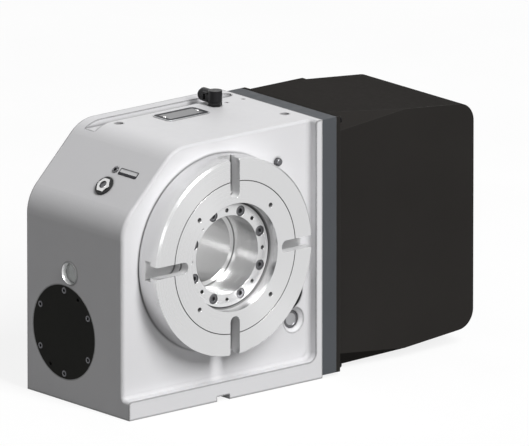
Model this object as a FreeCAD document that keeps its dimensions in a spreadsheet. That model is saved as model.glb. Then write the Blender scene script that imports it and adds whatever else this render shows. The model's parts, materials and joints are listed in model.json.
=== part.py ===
import FreeCAD, Part
import math
import os
import Sketcher

# A pneumatically braked CNC rotary table, standing with its spindle axis level.
# X runs to the motor side, Y from front to back, Z up.
# The origin lies on the base plane, under the spindle axis, at the recessed front face.

SIZES = {
    # Casting
    "centre_height": 150,
    "casting_left": 120.5,
    "casting_right": 128,
    "casting_depth": 147,
    "casting_height": 265,
    "corner_cut": 68,
    "corner_cut_radius": 40,
    "relief_depth": 11,
    "ledge_height": 19,
    "strip_width": 8,
    "relief_corner_radius": 9,
    "relief_root_radius": 4,
    "front_edge_radius": 3.5,
    "key_width": 16,
    "key_depth": 5,
    "channel_width": 15,
    "channel_depth": 6.5,
    "channel_land": 14,
    "channel_end_wall": 5,
    # Clearances
    "slip": 0.2,
    "running_gap": 0.3,
    # Screws
    "small_screw": 4,
    "cap_screw": 5,
    "ring_screw": 6,
    "ring_screw_seat": 6.5,
    "ring_screw_length": 20,
    "plate_screw": 8,
    "plate_screw_length": 28,
    "screw_grip": 12,
    # Face plate
    "plate_dia": 200,
    "plate_thick": 28,
    "plate_gap": 1.3,
    "plate_edge": 2,
    "pilot_dia": 110,
    "pilot_depth": 12.5,
    "ring_groove_land": 0.7,
    "ring_groove_width": 1.8,
    "ring_groove_depth": 2,
    "nose_depth": 2.5,
    "slot_width": 12,
    "slot_neck": 11,
    "slot_head_width": 20,
    "slot_head_height": 8,
    "slot_inner_margin": 5,
    "slot_head_step": 2,
    "face_groove_dia": 155,
    "face_groove_width": 1,
    "face_groove_depth": 0.8,
    "face_hole_circle": 129,
    "face_hole_dia": 5,
    "face_hole_depth": 16,
    "ring_bolt_inset": 5.5,
    "ring_bolt_count": 8,
    "ring_hole_dia": 4.2,
    # Spindle line
    "nose_bore": 80,
    "nose_bore_depth": 24,
    "spindle_bore": 70,
    "front_journal": 110,
    "front_bearing_outer": 150,
    "front_bearing_width": 24,
    "ring_wall": 6,
    "front_shoulder_height": 4,
    "front_shoulder_width": 8,
    "spindle_waist": 104,
    "wheel_flange_dia": 112,
    "wheel_flange_width": 12,
    "wheel_rim": 10,
    "rear_journal": 90,
    "rear_bearing_outer": 125,
    "rear_bearing_width": 18,
    "rear_ring_wall": 5,
    "wheel_spacer_width": 10,
    "lock_nut_wall": 7,
    "lock_nut_width": 10,
    "spindle_tail": 7,
    "roller_count": 24,
    "roller_end_gap": 2.5,
    "chamber_gap": 7,
    "chamber_end_wall": 4,
    "bearing_shoulder": 6,
    "retainer_margin": 10,
    "retainer_thick": 8,
    "seal_section": 7,
    "seal_sleeve_wall": 4,
    # Brake at the rear of the spindle
    "brake_bore": 160,
    "brake_disc_gap": 6,
    "brake_disc_thick": 4,
    "brake_hub_dia": 112,
    "brake_hub_step": 2,
    "friction_thick": 1.4,
    "friction_margin": 3.5,
    "piston_inner_wall": 5,
    "piston_outer_wall": 4,
    "piston_thick": 8,
    "piston_gap": 1,
    "piston_chamber": 4,
    "cap_margin": 12,
    "cap_thick": 7,
    "cap_nut_gap": 1,
    "cap_lip": 3,
    "cap_lip_gap": 1.5,
    # Worm and worm wheel
    "worm_module": 2,
    "wheel_teeth": 60,
    "wheel_width": 24,
    "worm_pitch_dia": 40,
    "worm_setback": 57,
    "thread_turns": 6.5,
    "tooth_thinning": 0.2,
    "worm_shaft_dia": 30,
    "worm_collar_dia": 38,
    "worm_collar_width": 12,
    "worm_bearing_outer": 62,
    "worm_bearing_width": 16,
    "worm_roller_count": 12,
    "worm_ring_wall": 5,
    "worm_tail_dia": 25,
    "tail_bearing_outer": 52,
    "tail_bearing_width": 15,
    "tail_bearing_setback": 3,
    "worm_bore_gap": 2.5,
    "worm_nut_width": 8,
    "worm_nut_dia": 46,
    "end_cover_dia": 95,
    "end_cover_thick": 6,
    "end_cover_spigot": 10.5,
    "end_cover_wall": 4,
    "end_cover_screw_inset": 5,
    "end_cover_screw_count": 6,
    "jack_hole_angle": 120,
    # Spur gears between the motor and the worm
    "gear_module": 2,
    "worm_gear_teeth": 45,
    "pinion_teeth": 30,
    "gear_width": 12,
    "gear_pocket_depth": 18,
    "gear_pocket_gap": 2.5,
    "gear_end_gap": 4,
    "gear_seat_dia": 22,
    "gear_hub_dia": 36,
    "gear_washer_thick": 1.5,
    # Motor
    "motor_depth": 69,
    "motor_flange_thick": 12,
    "motor_pilot_dia": 95,
    "motor_pilot_height": 5,
    "motor_body_side": 104,
    "motor_flange_step": 3,
    "motor_bolt_inset": 6,
    "motor_body_length": 104,
    "motor_corner": 9,
    "motor_screw_gap": 1.8,
    "rotor_gap": 1,
    "motor_shaft_dia": 19,
    "rotor_dia": 70,
    "rotor_length": 84,
    "encoder_step": 7,
    "encoder_length": 36,
    # Drive plate and motor cover
    "drive_plate_thick": 18,
    "drive_plate_lift": 3,
    "drive_plate_corner": 11,
    "plate_screw_inset": 23,
    "plate_screw_middle": 205,
    "cover_rim": 5,
    "cover_length": 178,
    "cover_setback": 5,
    "cover_wall": 4,
    "cover_top_slope": 0.097,
    "cover_bottom_slope": 0.085,
    "cover_end_radius": 20,
    "front_facet_depth": 15,
    "front_facet_height": 17,
    "rear_facet_depth": 22,
    "rear_facet_height": 24,
    "cover_facet_length": 88,
    "cover_screw_inset": 5.5,
    "corner_screw_margin": 3.3,
    "box_left": 14,
    "box_length": 85,
    "box_depth": 18,
    "box_height": 100,
    "box_drop": 3,
    "box_screw_inset": 7,
    "socket_dia": 32,
    "socket_wall": 2,
    "socket_length": 18,
    "socket_spacing": 46,
    "socket_flange": 38,
    "socket_flange_thick": 3,
    # Fittings on the casting
    "eyebolt_dia": 8.5,
    "eyebolt_depth": 18,
    "pin_hole_dia": 3,
    "pin_hole_depth": 8,
    "pin_hole_left": 98.5,
    "pin_hole_right": 120,
    "pin_hole_setback": 16.5,
    "front_eyebolt_x": 114.6,
    "front_eyebolt_y": 31,
    "rear_eyebolt_x": -34.5,
    "rear_eyebolt_setback": 10,
    "air_x": 82,
    "air_setback": 18.5,
    "air_stud_dia": 14,
    "air_stud_height": 4,
    "air_thread_dia": 9.7,
    "air_thread_length": 8,
    "air_pivot_dia": 8,
    "air_pivot_height": 5,
    "air_axis_height": 8.5,
    "air_branch_dia": 13.5,
    "air_branch_length": 19.3,
    "air_crown": 0.75,
    "air_collet_dia": 10.5,
    "air_collet_depth": 9,
    "air_collet_stand": 2.2,
    "air_tube_dia": 8,
    "name_left": 7,
    "name_length": 54,
    "name_setback": 9,
    "name_width": 29,
    "name_corner": 6,
    "name_thick": 0.8,
    "filler_depth": 56.7,
    "filler_along": 35,
    "filler_head_flats": 16,
    "filler_washer_dia": 21,
    "filler_washer_thick": 1.5,
    "filler_head_height": 3,
    "filler_socket": 8,
    "filler_thread_dia": 14,
    "filler_thread_length": 12,
    "level_screw_gap": 20,
    "level_screw_proud": 0.8,
    "level_screw_dia": 7,
    "level_screw_length": 8,
    "sight_depth": 81,
    "sight_gap": 2.6,
    "sight_dia": 23,
    "sight_lens_dia": 19,
    "sight_seat": 8,
    "sight_proud": 1,
    "plug_x": 99.8,
    "plug_height": 62.6,
    "plug_mouth": 26,
    "plug_dia": 18,
    "plug_recess": 4,
    "plug_length": 12,
    "pointer_gap": 11,
    "pointer_dia": 8,
    "pointer_height": 5,
    "pointer_pin_dia": 4,
    "pointer_pin_length": 10,
    "pointer_angle": 45,
    "pointer_foot_width": 3.8,
    "pointer_foot_height": 2.6,
    "pointer_tip_width": 1.4,
    "pointer_tip_gap": 1.5,
    "port_margin": 4.5,
    "port_angle": -32,
    "port_dia": 38,
    "port_depth": 6,
}

document = FreeCAD.newDocument("rotary_table")
sheet = document.addObject("Spreadsheet::Sheet", "sizes")
for row, (alias, number) in enumerate(SIZES.items(), start=1):
    sheet.set(f"A{row}", alias)
    sheet.set(f"B{row}", str(number))
    sheet.setAlias(f"B{row}", alias)
document.recompute()


class Size:
    """A length with the sheet formula that gives it."""

    def __init__(self, number, formula=None):
        self.number = float(number)
        self.formula = formula or f"({self.number!r})"

    def joined(self, sign, other, number):
        return Size(number, f"({self.formula} {sign} {other.formula})")

    def __add__(self, other):
        other = as_size(other)
        return self.joined("+", other, self.number + other.number)

    def __sub__(self, other):
        other = as_size(other)
        return self.joined("-", other, self.number - other.number)

    def __mul__(self, other):
        other = as_size(other)
        return self.joined("*", other, self.number * other.number)

    def __truediv__(self, other):
        other = as_size(other)
        return self.joined("/", other, self.number / other.number)

    def __radd__(self, other):
        return as_size(other) + self

    def __rsub__(self, other):
        return as_size(other) - self

    def __rmul__(self, other):
        return as_size(other) * self

    def __neg__(self):
        return Size(-self.number, f"(-{self.formula})")

    def root(self):
        return Size(math.sqrt(self.number), f"sqrt({self.formula})")


def as_size(value):
    return value if isinstance(value, Size) else Size(value)


class Sheet:
    """The sheet's cells by name."""

    def __getattr__(self, name):
        return Size(sheet.get(name), f"sizes.{name}")


S = Sheet()
pieces = []

# Shares that every screw and every tooth keeps, whatever its size
HEAD_SHARE = 1.65
SOCKET_SHARE = 0.8
SOCKET_DEPTH_SHARE = 0.5
PRESSURE_ANGLE = math.radians(20)
DEDENDUM = 1.25
WORM_DEDENDUM = 1.2
THREAD_SINK = 0.5
SAME_PLACE = 0.01

# Planes and directions: which origin plane a profile across each axis is drawn on
PLANE = {"x": "YZ_Plane", "y": "XZ_Plane", "z": "XY_Plane"}
NORMAL = {"x": 1, "y": -1, "z": 1}


def whole(size):
    return int(size.number)


def bind(thing, name, value):
    thing.setExpression(name, as_size(value).formula)


def new_body(label, x=0, y=0, z=0, kept=True):
    body = document.addObject("PartDesign::Body", label)
    body.Label = label
    for letter, value in zip("xyz", (x, y, z)):
        bind(body, f"Placement.Base.{letter}", value)
    if kept:
        pieces.append(body)
    return body


def origin_plane(body, role):
    return next(part for part in body.Origin.OriginFeatures if part.Role == role)


def new_sketch(body, role, offset=(0, 0, 0)):
    sketch = body.newObject("Sketcher::SketchObject", "profile")
    sketch.AttachmentSupport = [(origin_plane(body, role), "")]
    sketch.MapMode = "FlatFace"
    for letter, value in zip("xyz", offset):
        bind(sketch, f"AttachmentOffset.Base.{letter}", value)
    return sketch


def fix_point(sketch, geometry, position, x, y):
    for kind, value in (("DistanceX", as_size(x)), ("DistanceY", as_size(y))):
        rule = sketch.addConstraint(
            Sketcher.Constraint(kind, -1, 1, geometry, position, value.number))
        bind(sketch, f"Constraints[{rule}]", value)


def draw_outline(sketch, points):
    first = sketch.GeometryCount
    corners = [FreeCAD.Vector(as_size(x).number, as_size(y).number, 0) for x, y in points]
    count = len(corners)
    for index in range(count):
        sketch.addGeometry(Part.LineSegment(corners[index], corners[(index + 1) % count]))
    for index in range(count):
        sketch.addConstraint(Sketcher.Constraint(
            "Coincident", first + index, 2, first + (index + 1) % count, 1))
    for index, (x, y) in enumerate(points):
        fix_point(sketch, first + index, 1, x, y)


def draw_circle(sketch, x, y, diameter):
    diameter = as_size(diameter)
    centre = FreeCAD.Vector(as_size(x).number, as_size(y).number, 0)
    circle = sketch.addGeometry(
        Part.Circle(centre, FreeCAD.Vector(0, 0, 1), diameter.number / 2))
    fix_point(sketch, circle, 3, x, y)
    rule = sketch.addConstraint(Sketcher.Constraint("Diameter", circle, diameter.number))
    bind(sketch, f"Constraints[{rule}]", diameter)


def circles(centres, diameter):
    return [("circle", x, y, diameter) for x, y in centres]


def outline(*points):
    return [("outline", points)]


def rectangle(x0, y0, x1, y1):
    return outline((x0, y0), (x1, y0), (x1, y1), (x0, y1))


def hexagons(centres, flats):
    corner = as_size(flats) / math.sqrt(3)
    loops = []
    for x, y in centres:
        turns = [math.radians(60 * step) for step in range(6)]
        loops += outline(*[(x + corner * math.cos(turn), y + corner * math.sin(turn))
                           for turn in turns])
    return loops


def on_circle(diameter, count, first_angle, x=0, y=0):
    radius = as_size(diameter) / 2
    turns = [math.radians(first_angle + 360 / count * step) for step in range(count)]
    return [(x + radius * math.cos(turn), y + radius * math.sin(turn)) for turn in turns]


def draw(sketch, loops):
    for kind, *values in loops:
        if kind == "circle":
            draw_circle(sketch, *values)
        else:
            draw_outline(sketch, *values)


def prism(body, axis, loops, start, end, cut=False):
    """Pad or pocket loops drawn across an axis, from one place along it to another."""
    start, end = as_size(start), as_size(end)
    sketch = new_sketch(body, PLANE[axis], (0, 0, start * NORMAL[axis]))
    draw(sketch, loops)
    forward = end.number > start.number
    feature = body.newObject("PartDesign::Pocket" if cut else "PartDesign::Pad", "prism")
    feature.Profile = sketch
    bind(feature, "Length", end - start if forward else start - end)
    along_normal = forward == (NORMAL[axis] > 0)
    feature.Reversed = along_normal if cut else not along_normal
    return feature


def turn(body, axis, profile, cut=False, x=0, y=0, z=0):
    """Revolve or groove a profile of (place along the axis, radius) points."""
    if axis == "z":
        sketch = new_sketch(body, "XZ_Plane", (x, z, -as_size(y)))
    else:
        sketch = new_sketch(body, "XY_Plane", (x, y, z))
    if axis == "x":
        draw_outline(sketch, profile)
    else:
        draw_outline(sketch, [(radius, place) for place, radius in profile])
    feature = body.newObject("PartDesign::Groove" if cut else "PartDesign::Revolution", "turned")
    feature.Profile = sketch
    feature.ReferenceAxis = (sketch, ["H_Axis" if axis == "x" else "V_Axis"])
    feature.Angle = 360
    return feature


def turned(label, axis, profile, x=0, y=0, z=0):
    body = new_body(label, x, y, z)
    turn(body, axis, profile)
    return body


def tube_profile(start, end, inner_dia, outer_dia):
    inner, outer = as_size(inner_dia) / 2, as_size(outer_dia) / 2
    return [(start, inner), (end, inner), (end, outer), (start, outer)]


def rounded(body, radius, wanted):
    """Fillet every edge of the body that the test picks."""
    document.recompute()
    base = body.Tip
    names = [f"Edge{index}" for index, edge in enumerate(base.Shape.Edges, start=1) if wanted(edge)]
    feature = body.newObject("PartDesign::Fillet", "rounded")
    feature.Base = (base, names)
    bind(feature, "Radius", radius)
    return feature


def chamfered(body, width, wanted):
    document.recompute()
    base = body.Tip
    names = [f"Edge{index}" for index, edge in enumerate(base.Shape.Edges, start=1) if wanted(edge)]
    feature = body.newObject("PartDesign::Chamfer", "chamfered")
    feature.Base = (base, names)
    bind(feature, "Size", width)
    return feature


def near(edge, **place):
    """Does the whole edge lie at the given coordinates?"""
    for letter, value in place.items():
        values = [getattr(edge.valueAt(end), letter)
                  for end in (edge.FirstParameter, edge.LastParameter)]
        values.append(getattr(edge.CenterOfMass, letter))
        if any(abs(found - as_size(value).number) > SAME_PLACE for found in values):
            return False
    return True


def cap_screws(label, axis, centres, face, out, size, length, x=0, y=0, z=0):
    """Socket-head screws: heads stand out from the face towards out, shanks go in."""
    body = new_body(label, x, y, z)
    top = face + size * out
    prism(body, axis, circles(centres, size * HEAD_SHARE), face, top)
    prism(body, axis, circles(centres, size), face, face - length * out)
    prism(body, axis, hexagons(centres, size * SOCKET_SHARE), top,
          top - size * SOCKET_DEPTH_SHARE * out, cut=True)


def rollers(label, axis, bearings, x=0, y=0, z=0):
    """Roller sets, each given by its inner and outer races, its count and its bearing's ends."""
    body = new_body(label, x, y, z)
    for inner_race, outer_race, count, start, end in bearings:
        diameter = (outer_race - inner_race) / 2 - S.running_gap * 2
        prism(body, axis, circles(on_circle((inner_race + outer_race) / 2, count, 0), diameter),
              start + S.roller_end_gap, end - S.roller_end_gap)


# Places along the spindle axis, front to back
plate_back = -S.plate_gap
plate_front = plate_back - S.plate_thick
ring_face = plate_front + S.pilot_depth
nose_front = plate_back - S.nose_depth
front_bearing_at = S.retainer_thick
front_bearing_end = front_bearing_at + S.front_bearing_width
rear_face = S.casting_depth
worm_depth = rear_face - S.worm_setback
wheel_front = worm_depth - S.wheel_width / 2
wheel_back = worm_depth + S.wheel_width / 2
rear_bearing_at = wheel_back + S.wheel_spacer_width
rear_bearing_end = rear_bearing_at + S.rear_bearing_width
disc_front = rear_bearing_end + S.brake_hub_step
disc_back = disc_front + S.brake_disc_thick
nut_end = disc_back + S.lock_nut_width
piston_front = disc_back + S.piston_gap
piston_back = piston_front + S.piston_thick
groove_end = piston_back + S.piston_chamber
cap_back = rear_face + S.cap_thick
spindle_end = nut_end + S.spindle_tail
relief_front = -S.relief_depth
channel_front = rear_face - S.channel_land - S.channel_width
air_y = channel_front - S.air_setback
pin_hole_back = channel_front - S.pin_hole_setback
rear_eyebolt_y = channel_front - S.rear_eyebolt_setback
name_front = channel_front - S.name_setback - S.name_width

# Places along the worm axis, left to right
left_face = -S.casting_left
right_face = S.casting_right
cover_inner = left_face + S.end_cover_thick
worm_bearing_at = cover_inner + S.end_cover_spigot
worm_bearing_end = worm_bearing_at + S.worm_bearing_width * 2
pocket_floor = right_face - S.gear_pocket_depth
tail_bearing_end = pocket_floor - S.tail_bearing_setback
tail_bearing_at = tail_bearing_end - S.tail_bearing_width
gear_end = right_face - S.gear_end_gap
gear_at = gear_end - S.gear_width
plate_right = right_face + S.drive_plate_thick
rim_right = plate_right + S.cover_rim
cover_end = rim_right + S.cover_length

# Axis places
wheel_pitch_dia = S.worm_module * S.wheel_teeth
worm_drop = (wheel_pitch_dia + S.worm_pitch_dia) / 2
worm_height = S.centre_height - worm_drop
gear_distance = S.gear_module * (S.worm_gear_teeth + S.pinion_teeth) / 2
motor_shift = worm_depth - S.motor_depth
motor_height = worm_height + (gear_distance * gear_distance - motor_shift * motor_shift).root()
worm_gear_dia = S.gear_module * (S.worm_gear_teeth + 2)
pinion_dia = S.gear_module * (S.pinion_teeth + 2)
sight_height = worm_height + S.end_cover_dia / 2 + S.sight_gap + S.sight_dia / 2
spindle_at = {"z": S.centre_height}
worm_at = {"y": worm_depth, "z": worm_height}
motor_at = {"y": S.motor_depth, "z": motor_height}

# Diameters that follow from what they fit
front_shoulder = S.front_journal + S.front_shoulder_height * 2
seal_sleeve_dia = S.front_journal + S.seal_sleeve_wall * 2
seal_outer = seal_sleeve_dia + S.seal_section * 2
retainer_dia = S.front_bearing_outer + S.retainer_margin * 2
wheel_root_dia = wheel_pitch_dia - S.worm_module * DEDENDUM * 2
wheel_seat = wheel_root_dia - S.wheel_rim * 2
chamber_dia = wheel_pitch_dia + S.worm_module * 2 + S.chamber_gap * 2
lock_nut_dia = S.rear_journal + S.lock_nut_wall * 2
cap_bore = lock_nut_dia + S.cap_nut_gap * 2
cap_lip_dia = S.rear_journal + S.cap_lip_gap * 2
cap_dia = S.brake_bore + S.cap_margin * 2
brake_disc_dia = S.brake_bore - S.brake_disc_gap * 2
friction_inner = S.rear_bearing_outer + S.friction_margin * 2
piston_inner = cap_bore + S.piston_inner_wall * 2
piston_outer = S.brake_bore - S.piston_outer_wall * 2
worm_bore = S.worm_pitch_dia + S.worm_module * 2 + S.worm_bore_gap * 2
motor_bore = S.rotor_dia + S.rotor_gap * 2
motor_side = S.motor_body_side + S.motor_flange_step * 2
encoder_side = S.motor_body_side - S.encoder_step * 2
motor_bolt_circle = (S.motor_body_side - S.motor_bolt_inset * 2) * math.sqrt(2)
motor_screw_clear = motor_bolt_circle / 2 - S.plate_screw * HEAD_SHARE / 2 - S.motor_screw_gap
motor_body_corner = S.motor_body_side - motor_screw_clear * math.sqrt(2)

# Screw circles and places that two or more pieces share
ring_bolt_circle = S.nose_bore + S.ring_bolt_inset * 2
end_cover_screw_circle = S.end_cover_dia - S.end_cover_screw_inset * 2
ring_screw_places = on_circle(ring_bolt_circle, whole(S.ring_bolt_count),
                              180 / whole(S.ring_bolt_count))
ring_hole_places = on_circle(ring_bolt_circle, whole(S.ring_bolt_count), 0)
retainer_screw_circle = (S.front_bearing_outer + retainer_dia) / 2
retainer_screw_places = on_circle(retainer_screw_circle, 8, 22.5)
cap_screw_circle = (S.brake_bore + cap_dia) / 2
cap_screw_places = on_circle(cap_screw_circle, 8, 22.5)
end_cover_places = on_circle(end_cover_screw_circle, whole(S.end_cover_screw_count), 30)
wheel_screw_circle = (wheel_seat + wheel_root_dia) / 2
wheel_screw_places = on_circle(wheel_screw_circle, 8, 0)
motor_screw_places = on_circle(motor_bolt_circle, 4, 45, S.motor_depth, motor_height)
plate_screw_places = [
    (y, z)
    for y in (relief_front + S.plate_screw_inset, rear_face - S.plate_screw_inset)
    for z in (S.drive_plate_lift + S.plate_screw_inset, S.plate_screw_middle,
              S.casting_height - S.plate_screw_inset)
]
plate_screw_seat = plate_right - S.plate_screw - S.slip * 2
corner_inset = S.drive_plate_corner / 2 + S.corner_screw_margin
cover_screw_places = [
    (y, z)
    for y, drop in ((relief_front + S.cover_screw_inset, S.cover_screw_inset),
                    (rear_face - corner_inset, corner_inset))
    for z in (S.drive_plate_lift + drop, S.casting_height - drop)
]


def shifted(places, x, y):
    return [(x + px, y + py) for px, py in places]


def counterbores(body, axis, places, screw, seat, mouth):
    """Head recesses from the mouth down to the seat."""
    prism(body, axis, circles(places, screw * HEAD_SHARE + S.slip * 4), mouth, seat, cut=True)


# Housing casting

def slant_sketch(body, loops):
    """A sketch on the cut corner: x runs up the slope, y to the back, normal outwards."""
    sketch = new_sketch(body, "XY_Plane", (left_face, 0, S.casting_height - S.corner_cut))
    base = sketch.AttachmentOffset.Base
    sketch.AttachmentOffset = FreeCAD.Placement(
        base, FreeCAD.Rotation(FreeCAD.Vector(0, 1, 0), -45))
    draw(sketch, loops)
    return sketch


def slant_hole(body, place, diameter, depth):
    feature = body.newObject("PartDesign::Pocket", "slant_hole")
    feature.Profile = slant_sketch(body, circles([place], diameter))
    bind(feature, "Length", depth)


def slant_body(label):
    body = new_body(label, left_face, 0, S.casting_height - S.corner_cut)
    base = body.Placement.Base
    body.Placement = FreeCAD.Placement(base, FreeCAD.Rotation(FreeCAD.Vector(0, 1, 0), -45))
    return body


filler_place = (S.filler_along, S.filler_depth)
level_place = (S.filler_along + S.level_screw_gap, S.filler_depth)
pointer_radius = S.plate_dia / 2 + S.pointer_gap
port_radius = retainer_dia / 2 + S.port_margin + S.port_dia / 2
port_place = on_circle(port_radius * 2, 1, S.port_angle.number, 0, S.centre_height)
pointer_place = on_circle(pointer_radius * 2, 1, S.pointer_angle.number, 0, S.centre_height)
worm_place = (worm_depth, worm_height)
motor_place = (S.motor_depth, motor_height)
sight_place = (S.sight_depth, sight_height)
eyebolt_places = [(S.front_eyebolt_x, S.front_eyebolt_y), (S.rear_eyebolt_x, rear_eyebolt_y)]
pin_hole_places = [(S.pin_hole_left, pin_hole_back), (S.pin_hole_right, pin_hole_back)]
wall_x = right_face - S.strip_width
spigot_front = piston_front + S.piston_gap * 2
shoulder_dia = S.rear_bearing_outer - S.bearing_shoulder


def casting_form(body):
    top = S.casting_height
    prism(body, "y", outline((left_face, 0), (right_face, 0), (right_face, top),
                             (left_face + S.corner_cut, top), (left_face, top - S.corner_cut)),
          relief_front, rear_face)
    rounded(body, S.corner_cut_radius,
            lambda edge: near(edge, x=left_face, z=top - S.corner_cut)
            or near(edge, x=left_face + S.corner_cut, z=top))
    margin = S.relief_depth
    prism(body, "y", rectangle(left_face - margin, S.ledge_height, wall_x, top + margin),
          relief_front, 0, cut=True)
    rounded(body, S.relief_corner_radius,
            lambda edge: near(edge, x=wall_x, z=S.ledge_height))
    corner = S.relief_corner_radius.number
    rounded(body, S.relief_root_radius,
            lambda edge: near(edge, y=0) and (
                near(edge, z=S.ledge_height) or near(edge, x=wall_x)
                or abs(getattr(edge.Curve, "Radius", 0) - corner) < SAME_PLACE))
    inner = corner - S.relief_root_radius.number
    rounded(body, S.front_edge_radius,
            lambda edge: near(edge, y=0) and not (
                near(edge, z=S.ledge_height + S.relief_root_radius)
                or near(edge, x=wall_x - S.relief_root_radius)
                or abs(getattr(edge.Curve, "Radius", 0) - inner) < SAME_PLACE))


def casting_bores(body):
    turn(body, "y", [
        (relief_front, 0), (relief_front, retainer_dia / 2),
        (front_bearing_at, retainer_dia / 2), (front_bearing_at, S.front_bearing_outer / 2),
        (front_bearing_end, S.front_bearing_outer / 2), (front_bearing_end, chamber_dia / 2),
        (rear_bearing_at - S.chamber_end_wall, chamber_dia / 2),
        (rear_bearing_at - S.chamber_end_wall, shoulder_dia / 2),
        (rear_bearing_at, shoulder_dia / 2), (rear_bearing_at, S.rear_bearing_outer / 2),
        (rear_bearing_end, S.rear_bearing_outer / 2), (rear_bearing_end, S.brake_bore / 2),
        (rear_face + S.cap_thick, S.brake_bore / 2), (rear_face + S.cap_thick, 0),
    ], cut=True, z=S.centre_height)
    turn(body, "x", [
        (left_face - S.end_cover_thick, 0),
        (left_face - S.end_cover_thick, S.end_cover_dia / 2 + S.slip),
        (cover_inner, S.end_cover_dia / 2 + S.slip), (cover_inner, S.worm_bearing_outer / 2),
        (worm_bearing_end, S.worm_bearing_outer / 2), (worm_bearing_end, worm_bore / 2),
        (tail_bearing_at, worm_bore / 2), (tail_bearing_at, S.tail_bearing_outer / 2),
        (pocket_floor + S.gear_pocket_gap, S.tail_bearing_outer / 2),
        (pocket_floor + S.gear_pocket_gap, 0),
    ], cut=True, y=worm_depth, z=worm_height)
    for place, diameter in ((worm_place, worm_gear_dia), (motor_place, pinion_dia)):
        prism(body, "x", circles([place], diameter + S.gear_pocket_gap * 2),
              right_face, pocket_floor, cut=True)


def casting_holes(body):
    top = S.casting_height
    prism(body, "y", circles(shifted(retainer_screw_places, 0, S.centre_height), S.cap_screw),
          front_bearing_at, front_bearing_at + S.screw_grip, cut=True)
    prism(body, "y", circles(shifted(cap_screw_places, 0, S.centre_height), S.cap_screw),
          rear_face, rear_face - S.screw_grip, cut=True)
    prism(body, "x", circles(shifted(end_cover_places, *worm_place), S.small_screw),
          cover_inner, cover_inner + S.screw_grip, cut=True)
    prism(body, "x", circles(plate_screw_places, S.plate_screw), right_face,
          plate_screw_seat - S.plate_screw_length, cut=True)
    prism(body, "x", circles([sight_place], S.sight_dia), left_face,
          left_face + S.sight_seat, cut=True)
    prism(body, "z", circles(eyebolt_places, S.eyebolt_dia), top, top - S.eyebolt_depth, cut=True)
    prism(body, "z", circles(pin_hole_places, S.pin_hole_dia), top, top - S.pin_hole_depth, cut=True)
    prism(body, "z", circles([(S.air_x, air_y)], S.air_thread_dia), top,
          top - S.air_thread_length, cut=True)
    slant_hole(body, filler_place, S.filler_thread_dia, S.filler_thread_length)
    slant_hole(body, level_place, S.level_screw_dia, S.level_screw_length)
    turn(body, "y", [(-S.relief_depth, 0), (-S.relief_depth, S.plug_mouth / 2), (0, S.plug_mouth / 2),
                     (S.plug_recess, S.plug_dia / 2),
                     (S.plug_recess + S.plug_length, S.plug_dia / 2),
                     (S.plug_recess + S.plug_length, 0)],
         cut=True, x=S.plug_x, z=S.plug_height)
    prism(body, "y", circles(pointer_place, S.pointer_pin_dia), 0, S.pointer_pin_length, cut=True)
    prism(body, "y", circles(port_place, S.port_dia), 0, S.port_depth, cut=True)


def casting_slots(body):
    top = S.casting_height
    prism(body, "z", rectangle(-S.key_width / 2, relief_front - S.key_depth,
                               S.key_width / 2, rear_face + S.key_depth),
          0, S.key_depth, cut=True)
    end = right_face - S.channel_end_wall - S.channel_width / 2
    channel_back = channel_front + S.channel_width
    prism(body, "z", rectangle(left_face - S.channel_depth, channel_front, end, channel_back),
          top, top - S.channel_depth, cut=True)
    prism(body, "z", circles([(end, channel_front + S.channel_width / 2)], S.channel_width),
          top, top - S.channel_depth, cut=True)


casting = new_body("housing_casting")
casting_form(casting)
casting_bores(casting)
casting_slots(casting)
casting_holes(casting)

# Fittings on the casting

end_cover = turned("worm_end_cover", "x", [
    (left_face, 0), (left_face, S.end_cover_dia / 2), (cover_inner, S.end_cover_dia / 2),
    (cover_inner, S.worm_bearing_outer / 2), (worm_bearing_at, S.worm_bearing_outer / 2),
    (worm_bearing_at, S.worm_bearing_outer / 2 - S.end_cover_wall),
    (cover_inner, S.worm_bearing_outer / 2 - S.end_cover_wall), (cover_inner, 0)], **worm_at)
prism(end_cover, "x", circles(end_cover_places, S.small_screw), left_face, cover_inner, cut=True)
counterbores(end_cover, "x", end_cover_places, S.small_screw, left_face + S.small_screw, left_face)
prism(end_cover, "x", circles(on_circle(end_cover_screw_circle, 2, S.jack_hole_angle.number), S.small_screw),
      left_face, cover_inner, cut=True)
cap_screws("worm_end_cover_screws", "x", end_cover_places, left_face + S.small_screw, -1,
           S.small_screw, S.end_cover_thick - S.small_screw + S.screw_grip, **worm_at)

turned("sight_glass_bezel", "x",
       tube_profile(left_face - S.sight_proud, left_face + S.sight_seat, S.sight_lens_dia, S.sight_dia),
       y=S.sight_depth, z=sight_height)
turned("sight_glass_lens", "x",
       [(left_face, 0), (left_face, S.sight_lens_dia / 2),
        (left_face + S.sight_seat, S.sight_lens_dia / 2), (left_face + S.sight_seat, 0)],
       y=S.sight_depth, z=sight_height)

washer = slant_body("filler_plug_washer")
prism(washer, "z", circles([filler_place], S.filler_washer_dia), 0, S.filler_washer_thick)
prism(washer, "z", circles([filler_place], S.filler_thread_dia), 0, S.filler_washer_thick, cut=True)
filler = slant_body("filler_plug")
filler_top = S.filler_washer_thick + S.filler_head_height
prism(filler, "z", hexagons([filler_place], S.filler_head_flats), S.filler_washer_thick, filler_top)
prism(filler, "z", circles([filler_place], S.filler_thread_dia), S.filler_washer_thick,
      -S.filler_thread_length)
prism(filler, "z", hexagons([filler_place], S.filler_socket), filler_top,
      filler_top - S.filler_head_height, cut=True)
level = slant_body("level_screw")
prism(level, "z", circles([level_place], S.level_screw_dia), S.level_screw_proud, -S.level_screw_length)
prism(level, "z", hexagons([level_place], S.level_screw_dia / 2), S.level_screw_proud,
      -S.level_screw_length / 2, cut=True)

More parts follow.
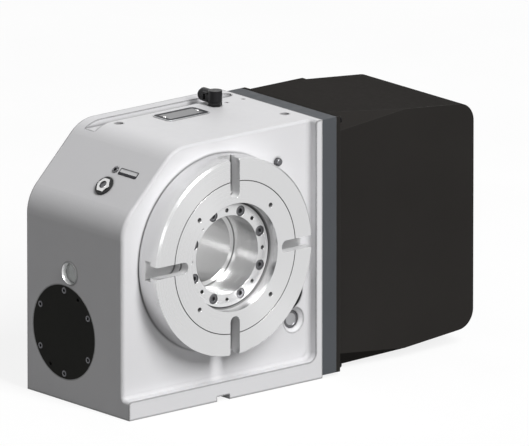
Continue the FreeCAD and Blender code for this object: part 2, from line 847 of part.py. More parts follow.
turned("drain_plug", "y",
       [(S.plug_recess, 0), (S.plug_recess, S.plug_dia / 2),
        (S.plug_recess + S.plug_length, S.plug_dia / 2),
        (S.plug_recess + S.plug_length, 0)], x=S.plug_x, z=S.plug_height)
pointer = turned("zero_pointer", "y",
                 [(S.pointer_pin_length, 0), (S.pointer_pin_length, S.pointer_pin_dia / 2),
                  (0, S.pointer_pin_dia / 2), (0, S.pointer_dia / 2),
                  (-S.pointer_height / 2, S.pointer_dia / 2), (-S.pointer_height, S.pointer_dia / 4),
                  (-S.pointer_height, 0)], x=pointer_place[0][0], z=pointer_place[0][1])
across, down = (trig(math.radians(S.pointer_angle.number)) for trig in (math.cos, math.sin))
reach = S.pointer_gap - S.pointer_tip_gap
foot = [(0, S.pointer_foot_width / 2), (0, -S.pointer_foot_width / 2),
        (reach, -S.pointer_tip_width / 2), (reach, S.pointer_tip_width / 2)]
prism(pointer, "y", outline(*[(side * down - along * across, -side * across - along * down)
                              for along, side in foot]), 0, -S.pointer_foot_height)
turned("front_port_cap", "y",
       [(0, 0), (0, S.port_dia / 2), (S.port_depth, S.port_dia / 2), (S.port_depth, 0)],
       x=port_place[0][0], z=port_place[0][1])

nameplate = new_body("blank_nameplate", S.name_left, name_front, S.casting_height)
far_x, far_y, corner = S.name_length, S.name_width, S.name_corner
prism(nameplate, "z", outline((corner, 0), (far_x - corner, 0), (far_x, corner), (far_x, far_y - corner),
                              (far_x - corner, far_y), (corner, far_y), (0, far_y - corner), (0, corner)),
      0, S.name_thick)

# Air inlet: a fixed stud, an elbow that swivels on it and a release collet that slides in the elbow

air_at = {"x": S.air_x, "y": air_y, "z": S.casting_height}
pivot_top = S.air_stud_height + S.air_pivot_height
turned("air_stud", "z", [
    (-S.air_thread_length, 0), (-S.air_thread_length, S.air_thread_dia / 2), (0, S.air_thread_dia / 2),
    (0, S.air_stud_dia / 2), (S.air_stud_height, S.air_stud_dia / 2),
    (S.air_stud_height, S.air_pivot_dia / 2), (pivot_top, S.air_pivot_dia / 2), (pivot_top, 0)], **air_at)
elbow = new_body("air_elbow", **air_at)
elbow_foot = S.air_stud_height + S.running_gap
elbow_top = S.air_axis_height + S.air_branch_dia / 2 + S.air_crown
collet_seat = S.air_branch_length - S.air_collet_depth
prism(elbow, "z", circles([(0, 0)], S.air_stud_dia), elbow_foot, elbow_top)
prism(elbow, "y", circles([(0, S.air_axis_height)], S.air_branch_dia), 0, S.air_branch_length)
prism(elbow, "z", circles([(0, 0)], S.air_stud_dia + S.running_gap * 2), 0, elbow_foot, cut=True)
prism(elbow, "z", circles([(0, 0)], S.air_pivot_dia + S.slip * 2), elbow_foot,
      pivot_top + S.running_gap, cut=True)
prism(elbow, "y", circles([(0, S.air_axis_height)], S.air_collet_dia + S.slip * 2),
      S.air_branch_length, collet_seat, cut=True)
turned("air_collet", "y",
       tube_profile(collet_seat + S.air_collet_stand, S.air_branch_length + S.air_collet_stand,
                    S.air_tube_dia + S.slip, S.air_collet_dia),
       x=S.air_x, y=air_y, z=S.casting_height + S.air_axis_height)

# Spindle, face plate and what turns with them

plate = turned("face_plate", "y", [
    (plate_front, S.pilot_dia / 2), (plate_front, S.plate_dia / 2 - S.plate_edge),
    (plate_front + S.plate_edge, S.plate_dia / 2), (plate_back, S.plate_dia / 2),
    (plate_back, S.front_journal / 2), (nose_front, S.front_journal / 2), (nose_front, S.nose_bore / 2),
    (ring_face, S.nose_bore / 2), (ring_face, S.pilot_dia / 2)], **spindle_at)
turn(plate, "y", tube_profile(plate_front, plate_front + S.face_groove_depth,
                              S.face_groove_dia - S.face_groove_width,
                              S.face_groove_dia + S.face_groove_width), cut=True)
groove_outer = S.pilot_dia - S.ring_groove_land * 2
turn(plate, "y", tube_profile(ring_face, ring_face + S.ring_groove_depth,
                              groove_outer - S.ring_groove_width * 2, groove_outer), cut=True)
neck_floor = plate_front + S.slot_neck
head_floor = neck_floor + S.slot_head_height
slot_cuts = []
neck_inner = S.pilot_dia / 2 + S.slot_inner_margin
for width, inner, top, floor in ((S.slot_width, neck_inner, plate_front, neck_floor),
                                 (S.slot_head_width, neck_inner + S.slot_head_step, neck_floor, head_floor)):
    end = inner + width / 2
    slot_cuts.append(prism(plate, "y", rectangle(end, -width / 2, S.plate_dia / 2 + width, width / 2),
                           top, floor, cut=True))
    slot_cuts.append(prism(plate, "y", circles([(end, 0)], width), top, floor, cut=True))
slots = plate.newObject("PartDesign::PolarPattern", "slots")
slots.Originals = slot_cuts
slots.Axis = (origin_plane(plate, "Y_Axis"), [""])
slots.Angle = 360
slots.Occurrences = 4
plate.Tip = slots
ring_seat = ring_face + S.ring_screw_seat
prism(plate, "y", circles(on_circle(S.face_hole_circle, 4, 45), S.face_hole_dia),
      plate_front, plate_front + S.face_hole_depth, cut=True)
prism(plate, "y", circles(ring_screw_places, S.ring_screw), ring_face, nose_front, cut=True)
counterbores(plate, "y", ring_screw_places, S.ring_screw, ring_seat, ring_face)
prism(plate, "y", circles(ring_hole_places, S.ring_hole_dia), ring_face, nose_front, cut=True)
cap_screws("face_plate_screws", "y", ring_screw_places, ring_seat, -1,
           S.ring_screw, S.ring_screw_length, **spindle_at)

wheel_flange_at = wheel_front - S.wheel_flange_width
wheel_screw_seat = wheel_back - S.small_screw - S.slip
wheel_screw_end = wheel_front - S.wheel_flange_width / 2
spindle = turned("spindle", "y", [
    (nose_front, S.nose_bore / 2), (nose_front, S.front_journal / 2),
    (front_bearing_end, S.front_journal / 2), (front_bearing_end, front_shoulder / 2),
    (front_bearing_end + S.front_shoulder_width, front_shoulder / 2),
    (front_bearing_end + S.front_shoulder_width, S.spindle_waist / 2),
    (wheel_flange_at, S.spindle_waist / 2), (wheel_flange_at, S.wheel_flange_dia / 2),
    (wheel_front, S.wheel_flange_dia / 2), (wheel_front, wheel_seat / 2),
    (wheel_back, wheel_seat / 2), (wheel_back, S.rear_journal / 2),
    (spindle_end, S.rear_journal / 2), (spindle_end, S.spindle_bore / 2),
    (nose_front + S.nose_bore_depth, S.spindle_bore / 2),
    (nose_front + S.nose_bore_depth, S.nose_bore / 2)], **spindle_at)
prism(spindle, "y", circles(ring_screw_places, S.ring_screw), nose_front,
      ring_seat + S.ring_screw_length, cut=True)
prism(spindle, "y", circles(wheel_screw_places, S.small_screw), wheel_front, wheel_screw_end, cut=True)
cap_screws("worm_wheel_screws", "y", wheel_screw_places, wheel_screw_seat, 1, S.small_screw,
           wheel_screw_seat - wheel_screw_end, **spindle_at)

turned("front_spacer_ring", "y",
       tube_profile(plate_back, front_bearing_at, S.front_journal, seal_sleeve_dia), **spindle_at)
turned("wheel_spacer", "y",
       tube_profile(wheel_back, rear_bearing_at, S.rear_journal, S.rear_journal + S.rear_ring_wall * 2),
       **spindle_at)
turned("brake_disc", "y", [
    (rear_bearing_end, S.rear_journal / 2), (rear_bearing_end, S.brake_hub_dia / 2),
    (disc_front, S.brake_hub_dia / 2), (disc_front, brake_disc_dia / 2),
    (disc_back, brake_disc_dia / 2), (disc_back, S.rear_journal / 2)], **spindle_at)
lock_nut = turned("spindle_lock_nut", "y",
                  tube_profile(disc_back, nut_end, S.rear_journal, lock_nut_dia), **spindle_at)
prism(lock_nut, "y", circles(on_circle(lock_nut_dia, 4, 0), S.small_screw), disc_back, nut_end, cut=True)

# Bearings and seals on the spindle line


def spindle_bearing(name, start, end, bore, outer, wall):
    inner_race, outer_race = bore + wall * 2, outer - wall * 2
    turned(f"{name}_bearing_inner_ring", "y", tube_profile(start, end, bore, inner_race), **spindle_at)
    turned(f"{name}_bearing_outer_ring", "y", tube_profile(start, end, outer_race, outer), **spindle_at)
    rollers(f"{name}_bearing_rollers", "y",
            [(inner_race, outer_race, whole(S.roller_count), start, end)], **spindle_at)


spindle_bearing("front", front_bearing_at, front_bearing_end, S.front_journal, S.front_bearing_outer,
                S.ring_wall)
spindle_bearing("rear", rear_bearing_at, rear_bearing_end, S.rear_journal, S.rear_bearing_outer,
                S.rear_ring_wall)

retainer = turned("front_bearing_retainer", "y",
                  tube_profile(0, front_bearing_at, seal_outer, retainer_dia), **spindle_at)
prism(retainer, "y", circles(retainer_screw_places, S.cap_screw), 0, front_bearing_at, cut=True)
counterbores(retainer, "y", retainer_screw_places, S.cap_screw, S.cap_screw, 0)
cap_screws("retainer_screws", "y", retainer_screw_places, S.cap_screw, -1, S.cap_screw,
           front_bearing_at - S.cap_screw + S.screw_grip, **spindle_at)
turned("front_oil_seal", "y",
       tube_profile(S.running_gap, front_bearing_at, seal_sleeve_dia + S.slip * 2, seal_outer),
       **spindle_at)

# Brake at the rear

rear_cap = turned("brake_rear_cap", "y", [
    (spigot_front, cap_bore / 2), (spigot_front, piston_inner / 2), (groove_end, piston_inner / 2),
    (groove_end, piston_outer / 2), (spigot_front, piston_outer / 2), (spigot_front, S.brake_bore / 2),
    (rear_face, S.brake_bore / 2), (rear_face, cap_dia / 2), (cap_back, cap_dia / 2),
    (cap_back, cap_lip_dia / 2), (cap_back - S.cap_lip, cap_lip_dia / 2),
    (cap_back - S.cap_lip, cap_bore / 2)], **spindle_at)
prism(rear_cap, "y", circles(cap_screw_places, S.cap_screw), cap_back, rear_face, cut=True)
cap_screws("brake_rear_cap_screws", "y", cap_screw_places, cap_back, 1, S.cap_screw,
           S.cap_thick + S.screw_grip, **spindle_at)
turned("brake_piston", "y",
       tube_profile(piston_front, piston_back, piston_inner + S.slip * 2, piston_outer - S.slip * 2),
       **spindle_at)
turned("brake_friction_ring", "y",
       tube_profile(rear_bearing_end, rear_bearing_end + S.friction_thick, friction_inner, S.brake_bore),
       **spindle_at)
turned("rear_oil_seal", "y",
       tube_profile(nut_end + S.piston_gap, cap_back - S.cap_lip, S.rear_journal + S.slip * 2, cap_bore),
       **spindle_at)

# Worm shaft and its bearings

worm_root = S.worm_pitch_dia / 2 - S.worm_module * WORM_DEDENDUM
worm_tip = S.worm_pitch_dia / 2 + S.worm_module
worm_nut_at = worm_bearing_at - S.worm_nut_width
collar_end = worm_bearing_end + S.worm_collar_width
thread_pitch = S.worm_module * math.pi
thread_start = -thread_pitch * S.thread_turns / 2
half_thread = thread_pitch / 4 - S.tooth_thinning / 2
gear_screw_reach = S.gear_width

worm = turned("worm_shaft", "x", [
    (worm_nut_at, 0), (worm_nut_at, S.worm_shaft_dia / 2), (worm_bearing_end, S.worm_shaft_dia / 2),
    (worm_bearing_end, S.worm_collar_dia / 2), (collar_end, S.worm_collar_dia / 2), (collar_end, worm_root),
    (tail_bearing_at, worm_root), (tail_bearing_at, S.worm_tail_dia / 2),
    (tail_bearing_end, S.worm_tail_dia / 2), (tail_bearing_end, S.gear_seat_dia / 2),
    (gear_end, S.gear_seat_dia / 2), (gear_end, 0)], **worm_at)
prism(worm, "x", circles([(0, 0)], S.ring_screw), gear_end, gear_end - gear_screw_reach, cut=True)
thread_profile = new_sketch(worm, "XY_Plane")
flank_slope = math.tan(PRESSURE_ANGLE)
flank_root = half_thread + S.worm_module * (WORM_DEDENDUM + THREAD_SINK) * flank_slope
flank_tip = half_thread - S.worm_module * flank_slope
thread_foot = worm_root - S.worm_module * THREAD_SINK
draw_outline(thread_profile, [
    (thread_start - flank_root, thread_foot), (thread_start + flank_root, thread_foot),
    (thread_start + flank_tip, worm_tip), (thread_start - flank_tip, worm_tip)])
thread = worm.newObject("PartDesign::AdditiveHelix", "thread")
thread.Profile = thread_profile
thread.ReferenceAxis = (thread_profile, ["H_Axis"])
thread.Mode = 0
bind(thread, "Pitch", thread_pitch)
bind(thread, "Height", thread_pitch * S.thread_turns)

inner_rings = new_body("worm_bearing_inner_rings", **worm_at)
outer_rings = new_body("worm_bearing_outer_rings", **worm_at)
worm_inner_race = S.worm_shaft_dia + S.worm_ring_wall * 2
worm_outer_race = S.worm_bearing_outer - S.worm_ring_wall * 2
tail_inner_race = S.worm_tail_dia + S.worm_ring_wall * 2
tail_outer_race = S.tail_bearing_outer - S.worm_ring_wall * 2
worm_bearings = [(worm_bearing_at, worm_bearing_at + S.worm_bearing_width - S.slip),
                 (worm_bearing_at + S.worm_bearing_width, worm_bearing_end)]
roller_sets = []
for start, end in worm_bearings:
    turn(inner_rings, "x", tube_profile(start, end, S.worm_shaft_dia, worm_inner_race))
    turn(outer_rings, "x", tube_profile(start, end, worm_outer_race, S.worm_bearing_outer))
    roller_sets.append((worm_inner_race, worm_outer_race, whole(S.worm_roller_count), start, end))
turn(inner_rings, "x", tube_profile(tail_bearing_at, tail_bearing_end, S.worm_tail_dia, tail_inner_race))
turn(outer_rings, "x",
     tube_profile(tail_bearing_at, tail_bearing_end, tail_outer_race, S.tail_bearing_outer))
roller_sets.append((tail_inner_race, tail_outer_race, whole(S.worm_roller_count),
                    tail_bearing_at, tail_bearing_end))
rollers("worm_bearing_rollers", "x", roller_sets, **worm_at)
turned("worm_lock_nut", "x",
       tube_profile(worm_nut_at, worm_bearing_at, S.worm_shaft_dia, S.worm_nut_dia), **worm_at)
washer_end = gear_end + S.gear_washer_thick
turned("worm_gear_screw", "x", [
    (gear_end - gear_screw_reach, 0), (gear_end - gear_screw_reach, S.ring_screw / 2),
    (gear_end, S.ring_screw / 2), (gear_end, S.gear_hub_dia / 2), (washer_end, S.gear_hub_dia / 2),
    (washer_end, S.ring_screw), (washer_end + S.gear_washer_thick, S.ring_screw),
    (washer_end + S.gear_washer_thick, 0)], **worm_at)

# Toothed wheels


def polar(radius, angle, height=0.0):
    return FreeCAD.Vector(radius * math.cos(angle), radius * math.sin(angle), height)


def gear_wire(module, teeth, thinning, first_angle, height=0.0):
    """An involute gear outline; each flank is an arc through three points of the involute."""
    pitch_radius = module * teeth / 2
    base, tip = pitch_radius * math.cos(PRESSURE_ANGLE), pitch_radius + module
    root = pitch_radius - module * DEDENDUM
    foot = max(base, root)
    half_pitch_angle = (math.pi * module / 2 - thinning) / (2 * pitch_radius)

    def involute(angle):
        return math.tan(angle) - angle

    def half_angle(radius):
        return half_pitch_angle + involute(PRESSURE_ANGLE) - involute(math.acos(min(1.0, base / radius)))

    def arc(*points):
        return Part.Arc(*points).toShape()

    step = 2 * math.pi / teeth
    radii = (foot, (foot + tip) / 2, tip)
    edges = []
    for tooth in range(teeth):
        middle = first_angle + tooth * step
        rising = [polar(radius, middle - half_angle(radius), height) for radius in radii]
        falling = [polar(radius, middle + half_angle(radius), height) for radius in reversed(radii)]
        root_start = polar(root, middle + half_angle(foot), height)
        root_end = polar(root, middle + step - half_angle(foot), height)
        edges += [arc(*rising), arc(rising[-1], polar(tip, middle, height), falling[0]), arc(*falling)]
        if foot > root:
            edges.append(Part.LineSegment(falling[-1], root_start).toShape())
        edges.append(arc(root_start, polar(root, middle + step / 2, height), root_end))
        if foot > root:
            next_foot = polar(foot, middle + step - half_angle(foot), height)
            edges.append(Part.LineSegment(root_end, next_foot).toShape())
    return Part.Wire(edges)


def keep_shape(label, shape, base, rotation):
    piece = document.addObject("Part::Feature", label)
    piece.Label = label
    piece.Shape = shape
    piece.Placement = FreeCAD.Placement(FreeCAD.Vector(*base), rotation)
    pieces.append(piece)


def bored(solid, places, diameter, start, depth):
    for x, y in places:
        at = FreeCAD.Vector(as_size(x).number, as_size(y).number, start)
        solid = solid.cut(Part.makeCylinder(diameter / 2, depth, at))
    return solid


ALONG_Y = FreeCAD.Rotation(FreeCAD.Vector(1, 0, 0), -90)
ALONG_X = FreeCAD.Rotation(FreeCAD.Vector(0, 1, 0), 90)


def worm_wheel():
    module, teeth, width = S.worm_module.number, whole(S.wheel_teeth), S.wheel_width.number
    thinning = S.tooth_thinning.number
    lead_angle = math.atan(module / S.worm_pitch_dia.number)
    twist = width * math.tan(lead_angle) / (module * teeth / 2)
    gap_down = math.pi / teeth
    sections = [gear_wire(module, teeth, thinning, gap_down + share * twist, height)
                for share, height in ((-0.5, 0.0), (0.5, width))]
    solid = Part.makeLoft(sections, True, True)
    solid = bored(solid, [(0, 0)], wheel_seat.number, 0, width)
    solid = bored(solid, wheel_screw_places, S.small_screw.number, 0, width)
    seat = (wheel_screw_seat - wheel_front).number
    head = (S.small_screw * HEAD_SHARE + S.slip * 4).number
    solid = bored(solid, wheel_screw_places, head, seat, width - seat)
    keep_shape("worm_wheel", solid, (0, wheel_front.number, S.centre_height.number), ALONG_Y)


def spur_gear(label, teeth, bore, first_angle, centre, hub=None):
    """A spur gear; a hub, given by its diameter and where it starts, stands out on its inner side."""
    width, reach = S.gear_width.number, 0.0
    wire = gear_wire(S.gear_module.number, teeth, S.tooth_thinning.number, first_angle)
    solid = Part.Face(wire).extrude(FreeCAD.Vector(0, 0, width))
    if hub:
        hub_dia, hub_start = hub
        reach = (gear_at - hub_start).number
        solid = solid.fuse(Part.makeCylinder(hub_dia.number / 2, reach, FreeCAD.Vector(0, 0, -reach)))
    solid = bored(solid, [(0, 0)], bore.number, -reach, width + reach)
    y, z = centre
    keep_shape(label, solid, (gear_at.number, y.number, z.number), ALONG_X)


worm_wheel()
to_motor = math.atan2((S.motor_depth - worm_depth).number, -(motor_height - worm_height).number)
spur_gear("worm_drive_gear", whole(S.worm_gear_teeth), S.gear_seat_dia, to_motor, worm_place,
          hub=(S.worm_tail_dia + S.worm_ring_wall, tail_bearing_end))
half_tooth = math.pi / whole(S.pinion_teeth)
spur_gear("motor_pinion", whole(S.pinion_teeth), S.motor_shaft_dia, to_motor + math.pi + half_tooth,
          motor_place)

# Motor

flange_end = plate_right + S.motor_flange_thick
body_end = flange_end + S.motor_body_length
encoder_end = body_end + S.encoder_length
rotor_at = flange_end + (S.motor_body_length - S.rotor_length) / 2
rotor_end = rotor_at + S.rotor_length
shaft_end = body_end + S.encoder_length / 2
shaft_hole = S.motor_shaft_dia + S.slip * 2


def square(side):
    half = side / 2
    return rectangle(S.motor_depth - half, motor_height - half, S.motor_depth + half, motor_height + half)


def along_x(edge):
    line = edge.valueAt(edge.LastParameter) - edge.valueAt(edge.FirstParameter)
    return abs(line.y) < SAME_PLACE and abs(line.z) < SAME_PLACE and abs(line.x) > SAME_PLACE


flange = new_body("motor_flange")
prism(flange, "x", square(motor_side), plate_right, flange_end)
rounded(flange, S.motor_corner, along_x)
prism(flange, "x", circles([motor_place], S.motor_pilot_dia), plate_right,
      plate_right - S.motor_pilot_height)
prism(flange, "x", circles([motor_place], shaft_hole), flange_end,
      plate_right - S.motor_pilot_height, cut=True)
prism(flange, "x", circles(motor_screw_places, S.plate_screw), flange_end, plate_right, cut=True)
stator = new_body("motor_stator")
prism(stator, "x", square(S.motor_body_side), flange_end, body_end)
chamfered(stator, motor_body_corner, along_x)
prism(stator, "x", circles([motor_place], motor_bore), body_end, flange_end, cut=True)
encoder = new_body("motor_encoder_cap")
prism(encoder, "x", square(encoder_side), body_end, encoder_end)
rounded(encoder, S.motor_corner, along_x)
prism(encoder, "x", circles([motor_place], shaft_hole), body_end, shaft_end + S.gear_end_gap, cut=True)
turned("motor_rotor", "x", [
    (gear_at, 0), (gear_at, S.motor_shaft_dia / 2), (rotor_at, S.motor_shaft_dia / 2),
    (rotor_at, S.rotor_dia / 2), (rotor_end, S.rotor_dia / 2), (rotor_end, S.motor_shaft_dia / 2),
    (shaft_end, S.motor_shaft_dia / 2), (shaft_end, 0)], **motor_at)
cap_screws("motor_screws", "x", motor_screw_places, flange_end, 1, S.plate_screw,
           S.motor_flange_thick + S.screw_grip)

# Drive plate


def plate_loop(shift=0):
    front, back = relief_front - shift, rear_face - shift
    low, top, cut = S.drive_plate_lift, S.casting_height, S.drive_plate_corner
    return outline((front, low), (back - cut, low), (back, low + cut), (back, top - cut),
                   (back - cut, top), (front, top))


drive_plate = new_body("drive_plate")
prism(drive_plate, "x", plate_loop(), right_face, plate_right)
prism(drive_plate, "x", circles([motor_place], pinion_dia + S.gear_pocket_gap * 2),
      plate_right, right_face, cut=True)
prism(drive_plate, "x", circles([motor_place], S.motor_pilot_dia), plate_right,
      plate_right - S.motor_pilot_height, cut=True)
prism(drive_plate, "x", circles(motor_screw_places, S.plate_screw), plate_right,
      plate_right - S.screw_grip, cut=True)
prism(drive_plate, "x", circles(plate_screw_places, S.plate_screw), plate_right, right_face, cut=True)
counterbores(drive_plate, "x", plate_screw_places, S.plate_screw, plate_screw_seat, plate_right)
prism(drive_plate, "x", circles(cover_screw_places, S.small_screw), plate_right,
      plate_right - S.screw_grip, cut=True)
cap_screws("drive_plate_screws", "x", plate_screw_places, plate_screw_seat, 1, S.plate_screw,
           S.plate_screw_length)

# Motor cover: a drafted box with cut corners next to its mounting rim

cover_front = relief_front + S.cover_setback
cover_middle = (cover_front + rear_face) / 2
cover_half = (rear_face - cover_front) / 2


def cover_top(x):
    return S.casting_height - S.cover_top_slope * (x - rim_right)


def cover_bottom(x):
    return S.drive_plate_lift + S.cover_bottom_slope * (x - rim_right)


def cut_corner(body, side, level, into, depth, height, start, inset):
    """Cut one long corner to a slanting facet that dies out along the cover."""
    sections = []
    for x, share in ((start, 1.0), (start + S.cover_facet_length, 0.01)):
        corner_y, corner_z = side * (cover_half - inset), level(x) - inset * into
        sketch = new_sketch(body, "YZ_Plane", (0, 0, x))
        draw_outline(sketch, [(corner_y, corner_z), (corner_y - side * depth * share, corner_z),
                              (corner_y, corner_z - height * into * share)])
        sections.append(sketch)
    loft = body.newObject("PartDesign::SubtractiveLoft", "cut_corner")
    loft.Profile = sections[0]
    loft.Sections = sections[1:]
    loft.Ruled = True


def cover_form(body, start, inset):
    end = cover_end - inset
    prism(body, "y", outline((start, cover_bottom(start) + inset), (end, cover_bottom(end) + inset),
                             (end, cover_top(end) - inset), (start, cover_top(start) - inset)),
          inset - cover_half, cover_half - inset)
    rounded(body, S.cover_end_radius - inset,
            lambda edge: near(edge, x=end) and abs(edge.tangentAt(edge.FirstParameter).y) > 0.9)
    for side, depth, height in ((-1, S.front_facet_depth, S.front_facet_height),
                                (1, S.rear_facet_depth, S.rear_facet_height)):
        for level, into in ((cover_top, 1), (cover_bottom, -1)):
            cut_corner(body, side, level, into, depth, height, start, inset)


cover_outside = new_body("cover_outside", y=cover_middle, kept=False)
cover_form(cover_outside, rim_right, as_size(0))
prism(cover_outside, "x", plate_loop(cover_middle), rim_right, plate_right)
prism(cover_outside, "x", circles(shifted(cover_screw_places, -cover_middle, 0), S.small_screw),
      rim_right, plate_right, cut=True)
cover_inside = new_body("cover_inside", y=cover_middle, kept=False)
cover_form(cover_inside, plate_right - S.cover_wall, S.cover_wall)
cover = document.addObject("Part::Cut", "motor_cover")
cover.Label = "motor_cover"
cover.Base = cover_outside
cover.Tool = cover_inside
pieces.append(cover)
cap_screws("motor_cover_screws", "x", cover_screw_places, rim_right, 1, S.small_screw,
           S.cover_rim + S.screw_grip)

# Connector box on the back of the cover

box_at = rim_right + S.box_left
box_end = box_at + S.box_length
box_top = cover_top(box_end) - S.box_drop
box_back = rear_face + S.box_depth
box_middle = (box_at + box_end) / 2
box_low = box_top - S.box_height
socket_places = [(box_middle, box_low + S.box_height / 2 + S.socket_spacing * share)
                 for share in (-0.5, 0.5)]
box_screw_places = [(x, z) for x in (box_at + S.box_screw_inset, box_end - S.box_screw_inset)
                    for z in (box_low + S.box_screw_inset, box_top - S.box_screw_inset)]
box = new_body("connector_box")
prism(box, "y", rectangle(box_at, box_low, box_end, box_top), rear_face, box_back)
prism(box, "y", circles(box_screw_places, S.small_screw), box_back, box_back - S.screw_grip, cut=True)
cap_screws("connector_box_screws", "y", box_screw_places, box_back, 1, S.small_screw, S.screw_grip)
sockets = new_body("connector_sockets")
socket_lip = box_back + S.socket_flange_thick
prism(sockets, "y", circles(socket_places, S.socket_flange), box_back, socket_lip)
prism(sockets, "y", circles(socket_places, S.socket_dia), socket_lip, box_back + S.socket_length)
prism(sockets, "y", circles(socket_places, S.socket_dia - S.socket_wall * 2), box_back + S.socket_length,
      socket_lip, cut=True)

# Check every object, then write each piece

document.recompute()
failed = [thing.Name for thing in document.Objects
          if "Invalid" in thing.State or "Error" in thing.State]
for piece in pieces:
    shape = piece.Shape
    if shape.isNull() or not shape.isValid() or not shape.Solids:
        failed.append(piece.Label)
if failed:
    raise RuntimeError("These objects failed: " + ", ".join(failed))
os.makedirs("parts", exist_ok=True)
for piece in pieces:
    piece.Shape.exportStep(os.path.join("parts", piece.Label + ".step"))
print(len(pieces), "pieces written")
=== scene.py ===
"""Finishes, fittings and stage of a CNC rotary table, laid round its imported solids."""

import json
import math

import bmesh
import bpy
from bpy.props import FloatProperty, FloatVectorProperty, IntProperty, PointerProperty
from mathutils import Matrix, Vector

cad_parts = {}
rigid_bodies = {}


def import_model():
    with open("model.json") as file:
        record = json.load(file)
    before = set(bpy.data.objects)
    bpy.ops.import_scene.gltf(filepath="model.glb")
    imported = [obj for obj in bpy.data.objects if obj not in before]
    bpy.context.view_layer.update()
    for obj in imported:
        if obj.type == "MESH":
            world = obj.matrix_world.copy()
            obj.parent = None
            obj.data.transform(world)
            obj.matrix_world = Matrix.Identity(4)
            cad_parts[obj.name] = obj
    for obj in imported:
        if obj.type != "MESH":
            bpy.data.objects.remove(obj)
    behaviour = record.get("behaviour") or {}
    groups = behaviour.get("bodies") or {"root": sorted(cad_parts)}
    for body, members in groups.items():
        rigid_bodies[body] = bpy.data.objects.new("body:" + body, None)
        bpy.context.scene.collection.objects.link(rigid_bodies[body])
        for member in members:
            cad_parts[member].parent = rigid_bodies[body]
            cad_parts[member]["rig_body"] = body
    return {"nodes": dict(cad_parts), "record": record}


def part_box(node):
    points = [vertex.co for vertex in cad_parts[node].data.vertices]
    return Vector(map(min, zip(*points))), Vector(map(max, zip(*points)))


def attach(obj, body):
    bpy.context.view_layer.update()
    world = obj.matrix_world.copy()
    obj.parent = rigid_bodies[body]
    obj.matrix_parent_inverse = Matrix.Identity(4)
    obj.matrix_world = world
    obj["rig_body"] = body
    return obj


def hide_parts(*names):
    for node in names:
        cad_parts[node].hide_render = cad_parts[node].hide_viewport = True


bl_info = {
    "name": "Rotary Table Looks",
    "version": (1, 0, 0),
    "blender": (4, 5, 0),
    "location": "3D View > Sidebar > Rotary Table",
    "description": "Finishes, fittings and stage of a CNC rotary table",
    "category": "Object",
}

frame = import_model()
NODES = frame["nodes"]
SLOT_OF = {row["node"]: row["material_slot"] for row in frame["record"]["subparts"]}
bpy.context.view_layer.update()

MM = 0.001
UP, FRONT, BACK, LEFT, RIGHT = (0, 0, 1), (0, -1, 0), (0, 1, 0), (-1, 0, 0), (1, 0, 0)
SLOPE_OUT = Vector((-1, 0, 1)).normalized()  # Out of the casting's slope
SLOPE_UP = Vector((1, 0, 1)).normalized()  # Up along the slope
SPINDLE = Vector((0, 0, 0.15))  # A point on the spindle's axis

HEAD_SHARE = 1.65  # A cap screw's head across, for each unit of its thread
SOCKET_SHARE = 0.8  # Its socket across the flats
SOCKET_DEPTH = 0.5  # Its socket's depth
RIM_SHARE = 0.09  # The most that its rim is rounded
KNURL_SHARE = 0.12  # Each wall of a knurl's groove, for each unit of its width
KNURL_FROM = 0.9  # Where the knurled side starts, for each unit of the head's radius

SAME = 1e-6  # Heights no further apart than this are one height
NEAR = 2e-5  # How far an edge may lie from the ring that it is picked by
FLAT = 0.99  # A direction with this much along an axis counts as along it
SQUARE = 0.1  # A direction with less than this along an axis counts as square to it
RING_PLAY = 0.02  # How far the middles of a ring's edges may lie from its radius, for each unit of it
LAP = 0.1 * MM  # How far shapes that are joined reach into one another
PAST = 1 * MM  # How far a cutter reaches past what it cuts
SMOOTH_ANGLE = math.radians(35)


def colour(name, description, default):
    return FloatVectorProperty(name=name, description=description, subtype="COLOR", size=3, min=0, max=1,
                               default=default)


def length(name, description, default):
    return FloatProperty(name=name, description=description, unit="LENGTH", subtype="DISTANCE", min=0,
                         default=default, precision=5)


def share(name, description, default):
    return FloatProperty(name=name, description=description, subtype="FACTOR", min=0, max=1, default=default)


def power(name, description, default):
    return FloatProperty(name=name, description=description, unit="POWER", min=0, default=default)


def angle(name, description, default):
    return FloatProperty(name=name, description=description, subtype="ANGLE", default=math.radians(default))


def point(name, description, default, subtype="XYZ"):
    return FloatVectorProperty(name=name, description=description, subtype=subtype, unit="LENGTH", default=default)


